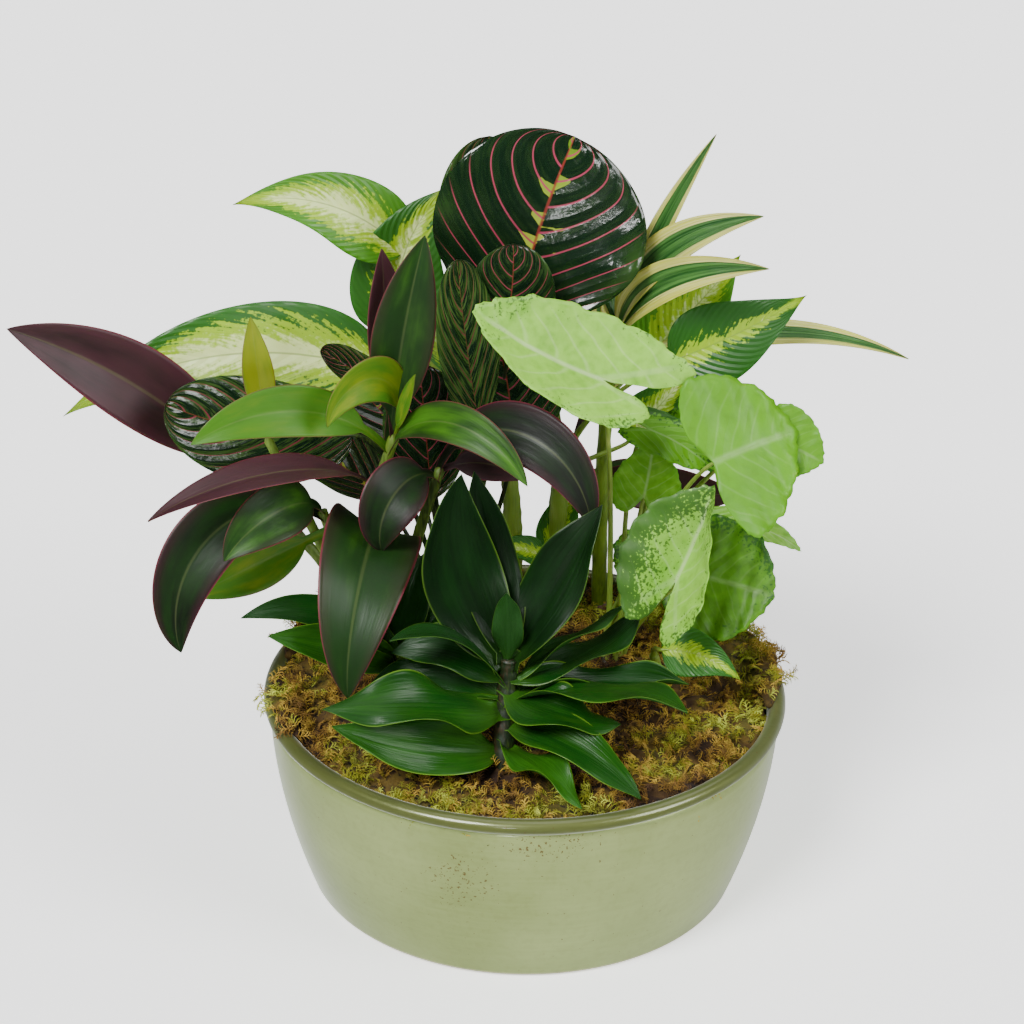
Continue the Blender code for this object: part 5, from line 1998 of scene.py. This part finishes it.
        for start in (0, 0.3, 0.6):
            spike(stem_point(start), stem_point(start + 0.42), 0.42 - 0.2 * start, start)
        for number in range(branches):
            share = 0.12 + 0.8 * number / branches
            foot = stem_point(share)
            hand = np.array([0, 1 if number % 2 else -1, 0])
            ahead = unit(stem_point(share + 0.05) - foot)
            way = unit(ahead * 0.6 + hand * 0.8 + rng.uniform(-0.35, 0.35, 3))
            arm = length * 0.42 * (1.1 - 0.7 * share)
            spike(foot, foot + way * arm, 0.3, share * 0.7)
            for place, turn in ((0.4, 0.8), (0.7, -0.8)):
                out = unit(way + ahead * turn + rng.uniform(-0.3, 0.3, 3))
                spike(foot + way * arm * place, foot + way * arm * place + out * arm * 0.5, 0.2,
                      share * 0.7 + 0.25)
        mesh = bpy.data.meshes.new(name)
        mesh.from_pydata([tuple(point * MM) for point in points], [], faces)
        # The reach also sets the painted shade that darkens each sprig towards its foot
        attribute = mesh.attributes.new("reach", "FLOAT", "POINT")
        attribute.data.foreach_set("value", reaches)
        sprig = new_object(name, mesh)
        sprig.hide_render = True
        return sprig

    def build(self) -> None:
        """Makes the mat, the tufts, the clumps and the wisps on them."""
        mat = new_object("moss_mat", self.mat_mesh())
        # The mat's finish is darkened all over with painted shade, as the deep gaps among the tufts
        mat.data.materials.append(MossFinish("moss_mat", 0.95, 0.8).material())
        finish = MossFinish("moss_sprigs", 0.85).material()
        sprig = self.sprig("sprig", self.sprig_length, self.sprig_branches)
        pieces = [mat]
        for layer in range(self.tuft_layers):
            pieces.append(Trees.plain(
                NodeTree.TUFTS, f"moss_tufts_{layer + 1}", self.mat_mesh(), Sprig=sprig,
                Density=self.tuft_density, Bareness=0.6, Smallest=self.tuft_sizes[0],
                Largest=self.tuft_sizes[1], Lean=1.0, Seed=self.seed + layer, Finish=finish))
        clumps = new_object("moss_clumps", self.clump_mesh())
        # The clumps take the mat's finish, dark with painted shade under their wisps
        clumps.data.materials.append(mat.data.materials[0])
        pieces.append(clumps)
        pieces.append(Trees.plain(
            NodeTree.TUFTS, "moss_wisps", self.clump_mesh(), Sprig=sprig, Density=self.clump_density,
            Bareness=0.3, Smallest=self.clump_sizes[0], Largest=self.clump_sizes[1], Lean=0.8,
            Seed=self.seed, Finish=finish))
        bpy.data.objects.remove(sprig)
        for piece in pieces:
            hand_over(piece, ["moss"])


@dataclass(frozen=True)
class Studio:
    """A pale floor, soft lights and the camera at the photograph's angle."""

    aim: tuple = (-7.7, 0, 192.4)
    elevation: float = 27
    roll: float = 0.95
    distance: float = 1500
    view_width: float = 485.4
    floor_size: float = 40000
    floor_colour: Colour = (0.92, 0.92, 0.92)
    floor_glow: float = 0.9

    def camera(self) -> None:
        """Sets the camera."""
        rise, roll = math.radians(self.elevation), math.radians(self.roll)
        back = Vector((0, -math.cos(rise), math.sin(rise)))
        right = Vector((1, 0, 0))
        up = back.cross(right)
        turned = (right * math.cos(roll) + up * math.sin(roll), up * math.cos(roll) - right * math.sin(roll))
        data = bpy.data.cameras.new("camera")
        data.lens = data.sensor_width * self.distance / self.view_width
        camera = new_object("camera", data)
        camera.matrix_world = Matrix((*turned, back)).transposed().to_4x4()
        camera.location = Vector(self.aim) * MM + back * self.distance * MM
        bpy.context.scene.camera = camera

    def floor(self) -> None:
        """Lays the floor."""
        half = self.floor_size / 2 * MM
        mesh = bpy.data.meshes.new("floor")
        mesh.from_pydata([(-half, -half, 0), (half, -half, 0), (half, half, 0), (-half, half, 0)],
                         [], [(0, 1, 2, 3)])
        floor = new_object("floor", mesh)
        material = bpy.data.materials.new("floor")
        material.use_nodes = True
        shader = material.node_tree.nodes["Principled BSDF"]
        shader.inputs["Base Color"].default_value = (*self.floor_colour, 1)
        shader.inputs["Roughness"].default_value = 0.9
        shader.inputs["Emission Color"].default_value = (1, 1, 1, 1)
        shader.inputs["Emission Strength"].default_value = self.floor_glow
        mesh.materials.append(material)
        floor.visible_glossy = False

    def light(self, name: str, place: Point, spread: float, strength: float) -> None:
        """A wide soft light, even all over the floor.

        Args:
            name: Its name.
            place: The way it comes from.
            spread: How wide it is, in degrees.
            strength: Its strength.
        """
        data = bpy.data.lights.new(name, "SUN")
        data.angle = math.radians(spread)
        data.energy = strength
        light = new_object(name, data)
        light.location = place
        light.rotation_mode = "QUATERNION"
        light.rotation_quaternion = (-Vector(place)).to_track_quat("-Z", "Y")

    def world(self) -> None:
        """Surrounds the floor with walls that are bright at eye height and dim above and below."""
        world = bpy.data.worlds.new("studio")
        world.use_nodes = True
        brush = Brush(world.node_tree)
        sky = world.node_tree.nodes["Background"]
        height = brush.split(Signal(brush, brush.node("ShaderNodeTexCoord").outputs["Generated"]))[2]
        walls = height.over(-0.3, 0.05) * (1 - height.over(0.1, 0.5) * 0.65)
        brush.feed(walls * 0.9 + 0.06, sky.inputs["Strength"])
        bpy.context.scene.world = world

    def build(self) -> None:
        """Sets up the camera, the floor and the lights."""
        self.camera()
        self.floor()
        self.world()
        self.light("key", (-0.8, -1.1, 1.5), 24, 4.2)
        self.light("fill", (1.4, -0.7, 1.0), 30, 2.2)
        self.light("top", (0.2, 0.5, 1.6), 50, 0.9)
        self.light("window", (-0.1, -0.95, 0.27), 5, 0.26)


def main() -> None:
    """Builds the studio, the bowl, its fill and the plants."""
    logging.basicConfig(level=logging.INFO, format="%(message)s")
    Studio().build()
    Bowl().build()
    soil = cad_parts["potting_soil"]
    soil.data.materials.clear()
    soil.data.materials.append(SoilFinish("potting_soil", 0.95).material())
    Moss().build()
    for plant in PLANTS:
        plant.build()


if __name__ == "__main__":
    main()
